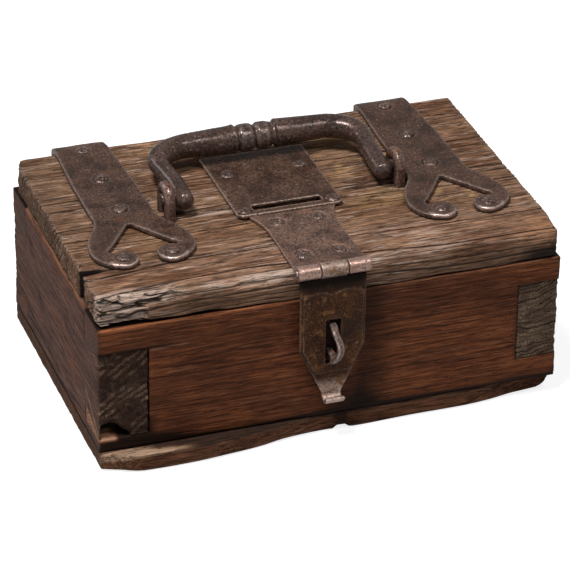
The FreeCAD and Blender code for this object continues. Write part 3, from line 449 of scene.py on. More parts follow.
for name, low_x, high_x, seed, heart, paleness, ring_lines, sheen in (
        ("left_end_board", -half_length, left_wall, 21, (-320, 60), 2.0, 0.6, 0.03),
        ("right_end_board", right_wall, half_length, 25, (116, 122), 1.0, 2.2, 0.08)):
    end_timber = wood_finish(name + "_timber", {
        "Hard wood": (0.060 * paleness, 0.031 * paleness, 0.023 * paleness),
        "Patch": (0.044 * paleness, 0.022 * paleness, 0.017 * paleness), "Groove": (0.010, 0.007, 0.006),
        "Bleached": (0.36, 0.26, 0.16), "Rubbed": (0.22, 0.075, 0.032), "Grime": (0.007, 0.005, 0.004)},
        bleach=0.12, lines=ring_lines, mottling=0.6, dullness=0.8, depth=0.25, gloss=sheen, turned=True)
    low, high = (low_x, -half_depth, wall_low), (high_x, half_depth, wall_high)
    points, faces = sawn_block(
        saw_lines(low_x, (low_x + 3, 1), (high_x - 3, 1.3), (high_x, 1)),
        saw_lines(-half_depth, (-86, 1), (-inner_face, 2), (inner_face, 2.6), (86, 2), (half_depth, 1)),
        wall_lines, lambda x, y, z: (numpy.abs(y) > inner_face) & ~joint_room(x, y, z))
    dovetail(points, 0.1)
    edge = numpy.clip(1.4 + 0.8 * drift(points, (16, 16, 16), seed), 0.4, 2.8)
    points = eased(points, low, high, edge)
    ring = growth(points, 1, heart, 3.0, seed)
    x, y, z = points.T
    on_left = low_x < 0
    low_tail, high_tail = left_tail if on_left else right_tail
    end_grain = step(numpy.abs(y), 85, 89.5)
    joint_line = end_grain * numpy.exp(-numpy.minimum(z - low_tail, high_tail - z) / 0.5)
    away = outward(points, faces)
    away[:, 2] *= numpy.abs(y) < inner_face - hair
    erosion = 0.18 + 0.18 * drift(points, (3, 40, 2.2), seed + 2)
    sunk = end_grain * numpy.where(y > 0, 0.5, 1.0)
    erosion += sunk * (0.6 + 0.6 * drift(points, (2.2, 30, 2.0), seed + 4))
    points -= away * erosion[:, None]
    points = numpy.clip(points, low, high)
    hollow = 1 - ((x + 135) / 13) ** 2 - ((z - left_tail[0]) / 11) ** 2
    hollow += 0.3 * drift(points, (6, 60, 5), 29)
    chip = step(hollow, 0, 0.5) * step(-y, 78, 86) * step(x, -139.6, -136.5)
    points[:, 1] += chip_depth * chip
    outer = step(numpy.abs(x), 138, 139.3)
    sliver = bell(z - 20 - 0.72 * (y + half_depth), 1.3) * step(-x, 137, 139) * step(-y, 60, 66)
    slant = numpy.sin((z - 0.75 * x) / 0.8 + 2.5 * drift(points, (9, 60, 9), seed + 5))
    streak = end_grain * step(slant, 0.1, 0.9) * step(drift(points, (5, 60, 5), seed + 7), -0.4, 0.5)
    pale, dirty, streak_wear, streak_scrape = (0.0, 0.70, 0.3, 0.55) if on_left else (0.18, 0.1, 0.0, 0.0)
    worn = 0.3 * edge_wear(points, low, high, 1.3) + sliver
    worn += end_grain * (pale + 0.3 * step(drift(points, (7, 60, 7), seed + 8), 0.0, 0.6))
    worn += 0.5 * end_grain * step(drift(points, (2.5, 60, 2.2), seed + 6), 0.15, 0.6) * step(-x, 118, 128)
    worn += streak_wear * streak
    # Painted shade along the foot of the board at the base; the end grain is darker, and the chip and the
    # joint lines are dark.
    soil = 0.9 * step(-z, -14.5, -12.4) + dirty * end_grain - streak_scrape * streak
    soil += 0.95 * chip + 0.75 * joint_line
    warm = 0.8 * step(z, 88.5, 91) * outer
    warm += 0.3 * outer * step(drift(points, (30, 30, 14), seed + 9), 0.2, 0.7)
    put_up("worn_" + name, points, faces, end_timber, "box", [name], "end_wood", ring=ring,
           wear=numpy.clip(worn, 0, 1), soil=numpy.clip(soil, 0, 0.97), warm=warm)


# Lid boards
# A wide rear plank with the coin slot sawn through it and a narrow front plank, pegged edge to edge.
# The soft early wood has weathered away, so the hard rings stand up as ridges along the grain.

lid_low, lid_high = wall_high, 110
lid_seam = -54.5
slot_left, slot_right, slot_front, slot_back = -24.3, 19.3, -17.5, -10.5
lid_colours = {"Groove": (0.024, 0.013, 0.009), "Bleached": (0.56, 0.43, 0.355),
               "Patch": (0.125, 0.058, 0.031), "Grime": (0.008, 0.006, 0.005)}
lid_rear_timber, lid_front_timber = (
    wood_finish(f"lid_{place}_timber", {**lid_colours, "Hard wood": wood, "Rubbed": handled},
                bleach=0.95, lines=1.35, mottling=2.4, dullness=0.88, depth=0.6, gloss=0.10)
    for place, wood, handled in (("rear", (0.215, 0.120, 0.070), (0.42, 0.26, 0.105)),
                                 ("front", (0.250, 0.140, 0.086), (0.38, 0.185, 0.095))))


def seam_gap(points):
    """How far the seam stands open, widest at the left end of the lid."""
    return 0.25 + 2.6 * step(-points[:, 0], 120, 141) + 0.2 * drift(points, (20, 20, 20), 31)


def split(points, route, width):
    """1 along a crack in the top of a board that follows a route of (x, y), thinning to its ends."""
    x, y, z = points.T
    along, across = numpy.array(route, float).T
    line = numpy.interp(x, along, across) + 0.7 * drift(points, (11, 300, 300), 39)
    ends = band(x, along[0] - 1, along[0] + 6, along[-1] - 6, along[-1] + 1)
    return ends * bell(y - line, width) * step(z, 104, 108)


def lid_wood(board, finish, points, faces, low, high, ring, relief, wear, soil, warm):
    """Cuts the grain into a lid board, ragged at its ends, and puts it up."""
    away = outward(points, faces)
    height = ridges(ring)
    points -= away * (relief * (1 - height) + 0.2 + 0.2 * drift(points, (60, 9, 9), 37))[:, None]
    ragged = (1 - height) * 0.35 + 0.8 + 0.8 * drift(points, (40, 6, 5), 38)
    points[:, 0] += ragged * (step(-points[:, 0], 134, 139.5) - 0.3 * step(points[:, 0], 134, 139.5))
    points = numpy.clip(points, low, high)
    sawn_end = step(numpy.abs(points[:, 0]), 136.5, 138.5) * step(-points[:, 2], -110, -107)
    put_up("worn_" + board, points, faces, finish, "lid", [board], "lid_wood", ring=ring,
           wear=numpy.clip(wear, 0, 1), soil=numpy.clip(soil + 0.06 * sawn_end, 0, 0.97),
           warm=numpy.clip(warm, 0, 1))


low, high = (-half_length, lid_seam, lid_low), (half_length, half_depth, lid_high)
points, faces = sawn_block(
    saw_lines(-half_length, (-136, 0.8), (slot_left, 2.2), (slot_right, 2.2), (136, 2.2), (half_length, 0.8)),
    saw_lines(lid_seam, (-51.5, 0.6), (slot_front, 0.7), (slot_back, 0.7), (87, 0.72), (half_depth, 0.6)),
    saw_lines(lid_low, (95, 0.8), (107, 2), (lid_high, 0.8)),
    lambda x, y, z: (x > slot_left) & (x < slot_right) & (y > slot_front) & (y < slot_back))
edge = numpy.clip(1.9 + 1.2 * drift(points, (15, 15, 15), 33), 0.5, 3.6)
edge = numpy.where(points[:, 1] < lid_seam + 6, 0.8, edge)
points = eased(points, low, high, edge)
cornered(points, [0, 1], (-half_length, half_depth), 13)
cornered(points, [0, 1], (half_length, half_depth), 5)
ring = growth(points, 0, (-330, -60), 3.4, 35)
x, y, z = points.T
crack_depth = 1.2
crack = sum(split(points, route, width) for route, width in (
    ([(34, -3), (50, -5), (62, -6)], 0.55), ([(118, -6), (140, -8)], 0.6),
    ([(-60, -4), (-44, -5), (-30, -7)], 0.5), ([(-132, 20), (-118, 18)], 0.5)))
points[:, 2] -= crack_depth * crack
open_seam = numpy.exp(-(y - lid_seam) / 1.2) * step(-x, 112, 130)
points[:, 1] += seam_gap(points) * numpy.exp(-(y - lid_seam) / 5)
worn = 0.45 * edge_wear(points, low, high, 1.4)
worn += 0.8 * bell(y + 9, 2.2) * band(x, -64, -52, -40, -34) * step(z, 107, 109.5)
spots = step(drift(points, (9, 7, 40), 91), 0.35, 0.75)
warm = 0.75 * spots * band(x, 30, 40, 52, 66) * band(y, -2, 8, 45, 60)
warm += 0.7 * spots * band(x, 84, 90, 104, 112) * band(y, -44, -38, -24, -18)
warm += 0.35 * step(drift(points, (45, 26, 40), 93), 0.05, 0.6) * step(z, 106, 109)
# Painted shade over the left rear of the lid top.
dusk = 0.30 * step(-x, 112, 136) * step(y, -40, 20)
lid_wood("lid_rear_board", lid_rear_timber, points, faces, low, high, ring, relief=0.7, wear=worn,
         soil=1.3 * crack + dusk + open_seam, warm=warm)

low, high = (-half_length, -half_depth, lid_low), (half_length, lid_seam, lid_high)
points, faces = sawn_block(
    saw_lines(-half_length, (-136, 0.8), (-80, 1.0), (136, 2.2), (half_length, 0.8)),
    saw_lines(-half_depth, (-83, 0.5), (-57.5, 0.7), (lid_seam, 0.6)),
    saw_lines(lid_low, (107, 0.5), (lid_high, 0.5)))
x, y, z = points.T
edge = numpy.clip(1.8 + 1.2 * drift(points, (16, 16, 16), 41), 0.5, 4.2)
edge += 3.0 * step(x, 100, 136) * step(-y, 66, 84) * step(z, 101, 105)
edge = numpy.where(y > lid_seam - 6, 0.8, edge)
points = eased(points, low, high, edge)
cornered(points, [0, 1], (half_length, -half_depth), 8)
cornered(points, [0, 1], (-half_length, -half_depth), 4)
ring = growth(points, 0, (-200, -40), 3.3, 43)
x, y, z = points.T
rotten = step(-x, 84, 104) * step(-y, 76, 84) * numpy.maximum(step(z, 103, 106), step(-x, 108, 116))
layers = drift(points, (20, 40, 3.4), 71) + 0.5 * drift(points, (7, 20, 1.6), 72)
gaps = rotten * bell(layers, 0.13) * step(-y, 82, 87)
points[:, 1] += rotten * (1.5 + 1.5 * layers) * step(-y, 80, 88) + 2.6 * gaps
points[:, 2] -= rotten * step(z, 106, 109.5) * (1.3 + 1.3 * drift(points, (12, 4, 40), 75))
chipped = band(x, -62, -50, -16, -6) * step(-y, 83, 87) * step(z, 104, 107)
points[:, 1] += chipped * (1.6 + 1.6 * drift(points, (9, 30, 4), 77))
points[:, 2] += 1.7 * step(-x, 10, 130) * step(-z, -96, -93) * step(-y, 60, 86)
open_seam = numpy.exp((y - lid_seam) / 1.2) * step(-x, 112, 130)
points[:, 1] -= seam_gap(points) * numpy.exp((y - lid_seam) / 5)
on_top = step(z, 106, 109)
lip = step(-y, 82, 87) * step(z, 105, 108.5)
front_face = step(-y, 80, 86) * step(-z, -106, -98)
bright = band(x, 22, 34, 56, 100) * step(-y, 58, 70) * on_top
worn = 0.4 * edge_wear(points, low, high, 1.4) + 0.95 * rotten + 0.8 * chipped
worn += 0.6 * lip * step(drift(points, (16, 16, 40), 79), 0.0, 0.5) * step(-x, -90, -50)
worn += 0.6 * bright * step(drift(points, (12, 1.8, 40), 85), 0.0, 0.5)
warm = 0.9 * step(x, 118, 134) * step(-y, 66, 80) * step(z, 103, 107) + 0.5 * lip * step(x, 40, 120)
warm += 0.45 * step(x, 30, 70) * step(drift(points, (40, 14, 40), 83), -0.3, 0.4) * on_top
warm += 0.4 * front_face * step(x, -114, -96)
# Painted shade over the right of the lid top.
dusk = 0.12 * step(x, 84, 112) * on_top
hole = numpy.exp(-((x - 135) ** 2 + (y + 75) ** 2) / 1.6)
# The front edge of the lid is darkened at its left and right ends as painted shade, and a little in two
# places between.
front_grime = front_face * (0.42 * step(x, -114, -100) + 0.2 * bell(x + 78, 14)
                            + 0.12 * step(x, 46, 70) + 0.4 * step(x, 104, 126))
lid_wood("lid_front_board", lid_front_timber, points, faces, low, high, ring, relief=0.36, wear=worn,
         soil=0.95 * gaps + hole + front_grime + open_seam + dusk, warm=warm)

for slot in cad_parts["lid_dowels"].material_slots:
    slot.material = end_timber


# Strap hinges
# Forged iron straps laid across the lid, split at the front into two arms that curl round to
# scrolls, and bent down behind the lid to a knuckle. Leaves on the back board carry the pins.

def loose_copy(source):
    """A copy of a drawn solid with its triangles joined."""
    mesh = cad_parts[source].data.copy()
    work = bmesh.new()
    work.from_mesh(mesh)
    bmesh.ops.remove_doubles(work, verts=work.verts, dist=1e-6)
    work.to_mesh(mesh)
    work.free()
    return mesh


def finished_mesh(piece):
    """The mesh of a piece with its modifiers carried out."""
    return bpy.data.meshes.new_from_object(piece.evaluated_get(bpy.context.evaluated_depsgraph_get()))


def rows(items, field, count, width, kind=int):
    """The values of one field of a mesh, in rows."""
    values = numpy.empty(count, kind)
    items.foreach_get(field, values)
    return values.reshape(-1, width)


edge_gain = 6  # how strongly a bend in the surface shows as a worn edge


def forged(source, pitch, rounds, dents):
    """Points, faces and edge marks of a forged piece: an even mesh, eased corners, hammer dents."""
    blank = in_scene("blank", loose_copy(source))
    even = blank.modifiers.new("even", "REMESH")
    even.mode = "VOXEL"
    even.voxel_size = pitch / metre
    mesh = finished_mesh(blank)
    bpy.data.objects.remove(blank)
    points = rows(mesh.vertices, "co", 3 * len(mesh.vertices), 3, float) * metre
    faces = rows(mesh.loops, "vertex_index", len(mesh.loops), 4)
    edges = rows(mesh.edges, "vertices", 2 * len(mesh.edges), 2)
    bpy.data.meshes.remove(mesh)
    low, high = points.min(0), points.max(0)
    ends = numpy.concatenate([edges[:, 0], edges[:, 1]])
    others = numpy.concatenate([edges[:, 1], edges[:, 0]])
    share = numpy.bincount(ends, minlength=len(points))[:, None]

    def around(values):
        return numpy.stack([numpy.bincount(ends, values[others, n], len(points))
                            for n in range(values.shape[1])], axis=1) / share

    for _ in range(rounds):
        points = points + 0.5 * (around(points) - points)
    away = outward(points, faces)
    bend = numpy.sum((points - around(points)) * away, axis=1)[:, None] / pitch
    for _ in range(2):
        bend = 0.5 * bend + 0.5 * around(bend)
    points = points + away * dents(points)[:, None]
    return numpy.clip(points, low, high), faces, numpy.clip(bend[:, 0] * edge_gain, 0, 1)


forge, given, made = new_group(
    "forge",
    [("Vector", "Vector"), ("Edge", "Float"), ("Rust", "Float"), ("Polish", "Float"), ("Dullness", "Float"),
     ("Skin", "Color"), ("Bright", "Color"), ("Rusty", "Color")],
    [("Color", "Color"), ("Metallic", "Float"), ("Roughness", "Float"), ("Height", "Float")])
blotches = grained(forge, given["Vector"], (13, 13, 13), 5.0, 0.6)
scale = grained(forge, given["Vector"], (1.3, 1.3, 1.3), 3.0, 0.6)
rust_spots = grained(forge, given["Vector"], (8, 8, 8), 7.0, 0.72)
pit_place = node(forge, "ShaderNodeMapping", {"Vector": given["Vector"], "Scale": (330, 330, 330)})
pits = node(forge, "ShaderNodeTexVoronoi", {"Vector": pit_place.outputs[0], "Scale": 1.0})
pit = sums(forge, "MULTIPLY", between(forge, pits.outputs["Distance"], 0.34, 0.12),
           between(forge, blotches, 0.45, 0.6))
dark = stain(forge, 1.0, given["Skin"], (0.50, 0.48, 0.50, 1), "MULTIPLY")
iron_colour = stain(forge, between(forge, blotches, 0.36, 0.60), dark, given["Skin"])
grain = sums(forge, "MULTIPLY_ADD", scale, 3.8, -0.9)
tint = node(forge, "ShaderNodeCombineColor", {0: grain, 1: grain, 2: grain})
iron_colour = stain(forge, 1.0, iron_colour, tint.outputs[0], "MULTIPLY")
fleck = sums(forge, "MULTIPLY", between(forge, scale, 0.64, 0.76), 0.5)
iron_colour = stain(forge, fleck, iron_colour, given["Bright"])
# Bright on worn edges, and on the front rims of the strap scrolls, which are painted highlight.
worn_edge = sums(forge, "MULTIPLY", given["Edge"], between(forge, scale, 0.22, 0.58))
rubbed = sums(forge, "MULTIPLY", given["Polish"], between(forge, scale, 0.50, 0.72))
shine = sums(forge, "MAXIMUM", worn_edge, rubbed)
iron_colour = stain(forge, shine, iron_colour, given["Bright"])
rust = sums(forge, "MULTIPLY", between(forge, rust_spots, 0.54, 0.66), given["Rust"])
iron_colour = stain(forge, rust, iron_colour, given["Rusty"])
iron_colour = stain(forge, sums(forge, "MULTIPLY", pit, 0.6), iron_colour, (0.012, 0.008, 0.007, 1))
forge.links.new(iron_colour, made.inputs["Color"])
metal = sums(forge, "MULTIPLY_ADD", shine, 0.5, 0.30)
forge.links.new(sums(forge, "MULTIPLY_ADD", rust, -0.2, metal), made.inputs["Metallic"])
roughness = sums(forge, "MULTIPLY_ADD", blotches, 0.4, given["Dullness"])
roughness = sums(forge, "MULTIPLY_ADD", shine, -0.12, roughness)
forge.links.new(sums(forge, "MULTIPLY_ADD", rust, 0.25, roughness), made.inputs["Roughness"])
bumps = sums(forge, "MULTIPLY_ADD", blotches, 2.2, sums(forge, "MULTIPLY", scale, 0.45))
forge.links.new(sums(forge, "MULTIPLY_ADD", pit, -0.8, bumps), made.inputs["Height"])


# Black for soot, and for the painted shadow under the hasp's knuckles.
soot_colour = (0.007, 0.005, 0.004, 1)


def iron_finish(name, skin, bright, rusty, rust, polish=0.0, dullness=0.24, depth=0.3, gloss=0.3):
    """Forged iron in the given colours, black and dull where its piece is marked with soot and painted
    shadow.
    """
    material, shader, group = new_finish(
        name, forge, ("Edge",), {"Rust": rust, "Polish": polish, "Dullness": dullness},
        {"Skin": skin, "Bright": bright, "Rusty": rusty}, depth, gloss)
    tree = material.node_tree
    tree.links.new(node(tree, "ShaderNodeTexCoord").outputs["Object"], group.inputs["Vector"])
    soot = node(tree, "ShaderNodeAttribute", attribute_name="soot").outputs["Fac"]
    bare = sums(tree, "SUBTRACT", 1.0, soot)
    tree.links.new(stain(tree, soot, group.outputs["Color"], soot_colour), shader.inputs["Base Color"])
    tree.links.new(sums(tree, "MULTIPLY", group.outputs["Metallic"], bare), shader.inputs["Metallic"])
    tree.links.new(sums(tree, "MAXIMUM", group.outputs["Roughness"], soot), shader.inputs["Roughness"])
    return material


strap_iron = iron_finish("strap_iron", skin=(0.086, 0.047, 0.033), bright=(0.62, 0.47, 0.41),
                         rusty=(0.17, 0.060, 0.024), rust=0.30)
strap_centres = {"left": -98.1, "right": 94.9}
scroll_spread, scroll_line = 14.5, -50.5
strap_taper, bend_out, bend_drop = 0.13, 2.2, 1.3
curl_rise, curl_groove, groove_radius = 1.0, 0.6, 6.6


def hammered(points):
    """Shallow dents of a hand hammer."""
    return -0.20 - 0.20 * drift(points, (10, 10, 10), 51) - 0.05 * drift(points, (2.4, 2.4, 2.4), 52)


for side, centre in strap_centres.items():
    points, faces, bend = forged(side + "_strap", 0.6, 7, hammered)
    x, y, z = points.T
    points[:, 0] -= strap_taper * (x - centre) * step(y, 30, 95)
    points[:, 1] += bend_out * step(y, 84, 93) * step(z, 97.5, 104)
    points[:, 2] -= bend_drop * step(y, 84, 94) * step(z, 104, 110)
    on_top = step(z, 111.5, 112.5)
    bend = 0.6 * bend
    for curl in (centre - scroll_spread, centre + scroll_spread):
        off = numpy.hypot(x - curl, y - scroll_line)
        points[:, 2] += on_top * (curl_rise * step(-off, -9.5, -6)
                                  - curl_groove * bell(off - groove_radius, 0.9))
        # Painted highlight: the front rim of each scroll is marked as a bright edge.
        bend = numpy.maximum(bend, on_top * band(off, 6.8, 8.4, 9, 10) * step(-y, 51, 56))
    put_up(f"forged_{side}_strap", points, faces, strap_iron, "lid", [side + "_strap"], "strap_iron",
           edge=bend)
    for part, pitch in (("_hinge_leaf", 0.8), ("_hinge_pin", 0.6)):
        points, faces, bend = forged(side + part, pitch, 3, hammered)
        put_up(f"forged_{side}{part}", points, faces, strap_iron, "box", [side + part], "strap_iron",
               edge=bend)


# Coin slot plate
# A thin iron sheet over the slot in the lid, with the slot cut through it and its front edge
# turned up a little over the leaf of the hasp.

plate_iron = iron_finish("plate_iron", skin=(0.090, 0.049, 0.033), bright=(0.58, 0.42, 0.33),
                         rusty=(0.15, 0.058, 0.026), rust=0.30)


def rolled(points):
    """The even surface of a thin sheet."""
    return -0.12 - 0.12 * drift(points, (14, 14, 14), 55) - 0.04 * drift(points, (2, 2, 2), 56)


lip_rise, crease_line, crease_depth = 0.9, -19, 0.5
points, faces, bend = forged("coin_slot_plate", 0.55, 2, rolled)
x, y, z = points.T
points[:, 2] += (lip_rise * step(-y, 18.5, 23)
                 - crease_depth * bell(y - crease_line, 1.2) * step(z, 111.5, 112))
put_up("forged_slot_plate", points, faces, plate_iron, "lid", ["coin_slot_plate"], "plate_iron", edge=bend)


# Hasp leaf and pin
# The fixed leaf of the hasp runs over the front of the lid, and its front edge is rolled into two
# knuckles round an iron pin.

leaf_iron = iron_finish("leaf_iron", skin=(0.145, 0.085, 0.063), bright=(0.55, 0.36, 0.29),
                        rusty=(0.24, 0.095, 0.045), rust=0.45)
points, faces, bend = forged("hasp_leaf", 0.55, 3, rolled)
bend = numpy.maximum(bend, 0.7 * step(-points[:, 1], 90, 92))
put_up("forged_hasp_leaf", points, faces, leaf_iron, "lid", ["hasp_leaf"], "plate_iron", edge=bend)
staple_iron = iron_finish("staple_iron", skin=(0.105, 0.066, 0.052), bright=(0.60, 0.49, 0.43),
                          rusty=(0.26, 0.085, 0.028), rust=0.8, polish=0.12, dullness=0.14)
points, faces, bend = forged("hasp_pin", 0.5, 2, rolled)
put_up("forged_hasp_pin", points, faces, staple_iron, "lid", ["hasp_pin"], "staple_iron", edge=bend)


# Hasp
# A tapered iron plate that hangs on the pin, with a slot for the staple, a smaller plate laid on
# its face and a finger curl at its lower end. A black band of painted shadow lies under the
# knuckles, and patchy soot darkens it a little lower.

hasp_iron = iron_finish("hasp_iron", skin=(0.072, 0.029, 0.012), bright=(0.50, 0.37, 0.31),
                        rusty=(0.19, 0.088, 0.030), rust=0.85, dullness=0.36, gloss=0.12)
points, faces, bend = forged("hasp", 0.55, 2, rolled)
x, y, z = points.T
bend = 0.3 * bend + 0.9 * step(-z, -42, -32) + 0.62 * step(z, 105.5, 107)
# Painted shadow: a black band under the knuckles stands in for the shade of the roll; the patches lower down
# are soot.
under_roll = band(z, 95, 104, 106.6, 107.6) * step(-y, 88, 92)
soot = 0.92 * under_roll + 0.45 * step(drift(points, (9, 30, 12), 63), 0.0, 0.6) * step(-z, -100, -92)
put_up("forged_hasp", points, faces, hasp_iron, "hasp", ["hasp"], "hasp_iron",
       edge=numpy.clip(bend, 0, 1), soot=numpy.clip(soot * step(z, 40, 46), 0, 0.95))


# Staple and handle eyes
# Iron bars bent to loops and driven through the wood, with their ends clinched on the inside.
# One stands in the front board for the padlock and two in the lid carry the handle.

def drawn_bar(points):
    """The slight unevenness of a drawn bar."""
    return -0.08 - 0.08 * drift(points, (5, 5, 5), 61)


def round_bar(across, side, out, half, leg, rise):
    """Moves that turn the square bar of a loop round: across it, along its span and out of the board."""
    above = numpy.maximum(out - rise, 0)
    reach = numpy.maximum(numpy.hypot(side, above), 1e-9)
    shown = step(out, -5, -2)
    u, v = numpy.clip(across / half, -1, 1), numpy.clip((reach - leg) / half, -1, 1)
    push = shown * half * v * (numpy.sqrt(1 - u ** 2 / 2) - 1)
    return shown * half * u * (numpy.sqrt(1 - v ** 2 / 2) - 1), push * side / reach, push * above / reach


staple_x, staple_z = -2.5, 65
staple_half, staple_leg, staple_rise = 2.3, 9.8, 8.75
points, faces, bend = forged("hasp_staple", 0.5, 5, drawn_bar)
x, y, z = points.T
across, span, out = round_bar(x - staple_x, z - staple_z, -half_depth - y,
                              staple_half, staple_leg, staple_rise)
points += numpy.stack([across, -out, span], axis=1)
twist = step(-y, 97, 107)
points[:, 0] += twist * (0.4 - 2.8 * ((z - 66) / 10) ** 2)
put_up("forged_hasp_staple", points, faces, staple_iron, "box", ["hasp_staple"], "staple_iron", edge=bend)

eye_iron = iron_finish("eye_iron", skin=(0.125, 0.069, 0.051), bright=(0.62, 0.50, 0.44),
                       rusty=(0.26, 0.085, 0.028), rust=0.9, polish=0.10, dullness=0.06)
eye_centres = {"left_handle_eye": -71.95, "right_handle_eye": 68.75}
eye_y, eye_half, eye_leg, eye_rise = -3, 2.8, 6.8, 10.5
eye_swell = 0.45
for source, centre in eye_centres.items():
    points, faces, bend = forged(source, 0.5, 5, drawn_bar)
    x, y, z = points.T
    points += numpy.stack(round_bar(x - centre, y - eye_y, z - lid_high, eye_half, eye_leg, eye_rise), axis=1)
    above = numpy.maximum(z - lid_high - eye_rise, 0)
    reach = numpy.hypot(y - eye_y, above)
    swell = eye_swell * step(z, lid_high - 6, lid_high - 2)
    way = math.copysign(1, centre)
    points[:, 0] += swell * way * numpy.maximum((x - centre) * way, 0)
    outside = swell * numpy.maximum(reach - eye_leg, 0) / reach
    points[:, 1] += outside * (y - eye_y)
    points[:, 2] += outside * above
    put_up("forged_" + source, points, faces, eye_iron, "lid", [source], "staple_iron", edge=0.4 * bend)


# Handle
# A bail forged from round bar, thickest in the grip, with a double bead at the middle and arms
# that turn down to pivots in the two eyes. Hands have polished it.

handle_iron = iron_finish("handle_iron", skin=(0.074, 0.042, 0.033), bright=(0.66, 0.54, 0.49),
                          rusty=(0.15, 0.06, 0.025), rust=0.15, polish=0.05, dullness=0.06, depth=0.12)
grip_axis = numpy.array([48.7, 125.7])
grip_fullness, grip_drop, arm_spread = 1.9, 1.0, 0.055


def grip_swell(points):
    """Hammer marks, and the fuller grip between the beads and the arms."""
    x, y, z = points.T
    return hammered(points) + grip_fullness * step(y, 28, 44) * step(numpy.abs(x + 0.75), 10.4, 12.2)


points, faces, bend = forged("handle", 0.6, 9, grip_swell)
x, y, z = points.T
points[:, 2] -= grip_drop * step(y, 10, 45)
for groove_at, groove_cut in ((-11.7, 0.05), (-0.6, 0.17), (10.2, 0.05)):
    depth = groove_cut * bell(x - groove_at, 1.0) * step(y, 30, 36)
    points[:, 1:] -= depth[:, None] * (points[:, 1:] - grip_axis)
bend = 0.25 * bend + 0.6 * bend * step(-numpy.abs(x + 1), -16, -13)
points[:, 0] += step(y, 0, 50) * (arm_spread * (x + 1.6) - 1.0)
put_up("forged_handle", points, faces, handle_iron, "handle", ["handle"], "handle_iron", edge=bend)


# Nails
# Hand-forged clout nails with low round heads, which hold the straps, plates and leaves, and the
# base board from below.

nail_iron = iron_finish("nail_iron", skin=(0.120, 0.073, 0.057), bright=(0.66, 0.54, 0.48),
                        rusty=(0.17, 0.062, 0.025), rust=0.3, polish=0.4, dullness=0.17)
nail_tree = bpy.data.node_groups.new("clout_nails", "GeometryNodeTree")
nail_tree.interface.new_socket("Geometry", in_out="INPUT", socket_type="NodeSocketGeometry")
shank_tip, shank_root = 0.8, 1.9
nail_inputs = {}
for label, kind, value in (
        ("Head radius", "Float", 4.7), ("Head height", "Float", 1.8), ("Shank length", "Float", 14.0),
        ("Turn", "Vector", (0, 0, 0)), ("Seed", "Int", 7)):
    socket = nail_tree.interface.new_socket(label, in_out="INPUT", socket_type="NodeSocket" + kind)
    socket.default_value = value
    nail_inputs[label] = socket.identifier
nail_tree.interface.new_socket("Geometry", in_out="OUTPUT", socket_type="NodeSocketGeometry")
given = nail_tree.nodes.new("NodeGroupInput").outputs
made = nail_tree.nodes.new("NodeGroupOutput")
radius, height, shank = (sums(nail_tree, "MULTIPLY", given[label], 1 / metre)
                         for label in ("Head radius", "Head height", "Shank length"))
head = node(nail_tree, "GeometryNodeMeshUVSphere", {"Segments": 14, "Rings": 8, "Radius": 1.0})
head_size = node(nail_tree, "ShaderNodeCombineXYZ", {0: radius, 1: radius, 2: height})
head_at = node(nail_tree, "GeometryNodeTransform",
               {"Geometry": head.outputs["Mesh"], "Scale": head_size.outputs[0]})
stem = node(nail_tree, "GeometryNodeMeshCone",
            {"Vertices": 8, "Radius Top": shank_tip / metre,
             "Radius Bottom": shank_root / metre, "Depth": shank})
stem_turn = node(nail_tree, "GeometryNodeTransform",
                 {"Geometry": stem.outputs["Mesh"], "Rotation": (math.pi, 0, 0)})
nail = node(nail_tree, "GeometryNodeJoinGeometry")
nail_tree.links.new(head_at.outputs[0], nail.inputs[0])
nail_tree.links.new(stem_turn.outputs[0], nail.inputs[0])
spin = node(nail_tree, "FunctionNodeRandomValue", {"Seed": given["Seed"]}, data_type="FLOAT_VECTOR")
spin.inputs[0].default_value = (-0.12, -0.12, -3.0)
spin.inputs[1].default_value = (0.12, 0.12, 3.0)
turned = node(nail_tree, "FunctionNodeRotateEuler", {"Rotation": given["Turn"], "Rotate By": spin.outputs[0]},
              space="LOCAL")
size = node(nail_tree, "FunctionNodeRandomValue", {"Seed": given["Seed"]}, data_type="FLOAT")
size.inputs[2].default_value = 0.88
size.inputs[3].default_value = 1.0
spread = node(nail_tree, "GeometryNodeInstanceOnPoints",
              {"Points": given["Geometry"], "Instance": nail.outputs[0],
               "Rotation": turned.outputs[0], "Scale": size.outputs[1]})
whole = node(nail_tree, "GeometryNodeRealizeInstances", {"Geometry": spread.outputs[0]})
smooth = node(nail_tree, "GeometryNodeSetShadeSmooth", {"Geometry": whole.outputs[0]})
coated = node(nail_tree, "GeometryNodeSetMaterial", {"Geometry": smooth.outputs[0], "Material": nail_iron})
nail_tree.links.new(coated.outputs[0], made.inputs["Geometry"])


def driven(name, places, body, nodes, turn=(0, 0, 0)):
    """Nails at their places in mm, as one mesh on a body."""
    marks = bpy.data.meshes.new(name)
    marks.from_pydata([[n / metre for n in place] for place in places], [], [])
    seats = in_scene(name, marks)
    nails = seats.modifiers.new("clout nails", "NODES")
    nails.node_group = nail_tree
    nails[nail_inputs["Turn"]] = turn
    mesh = finished_mesh(seats)
    seats.modifiers.remove(nails)
    seats.data = mesh
    bpy.data.meshes.remove(marks)
    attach(seats, body)
    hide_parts(*nodes)


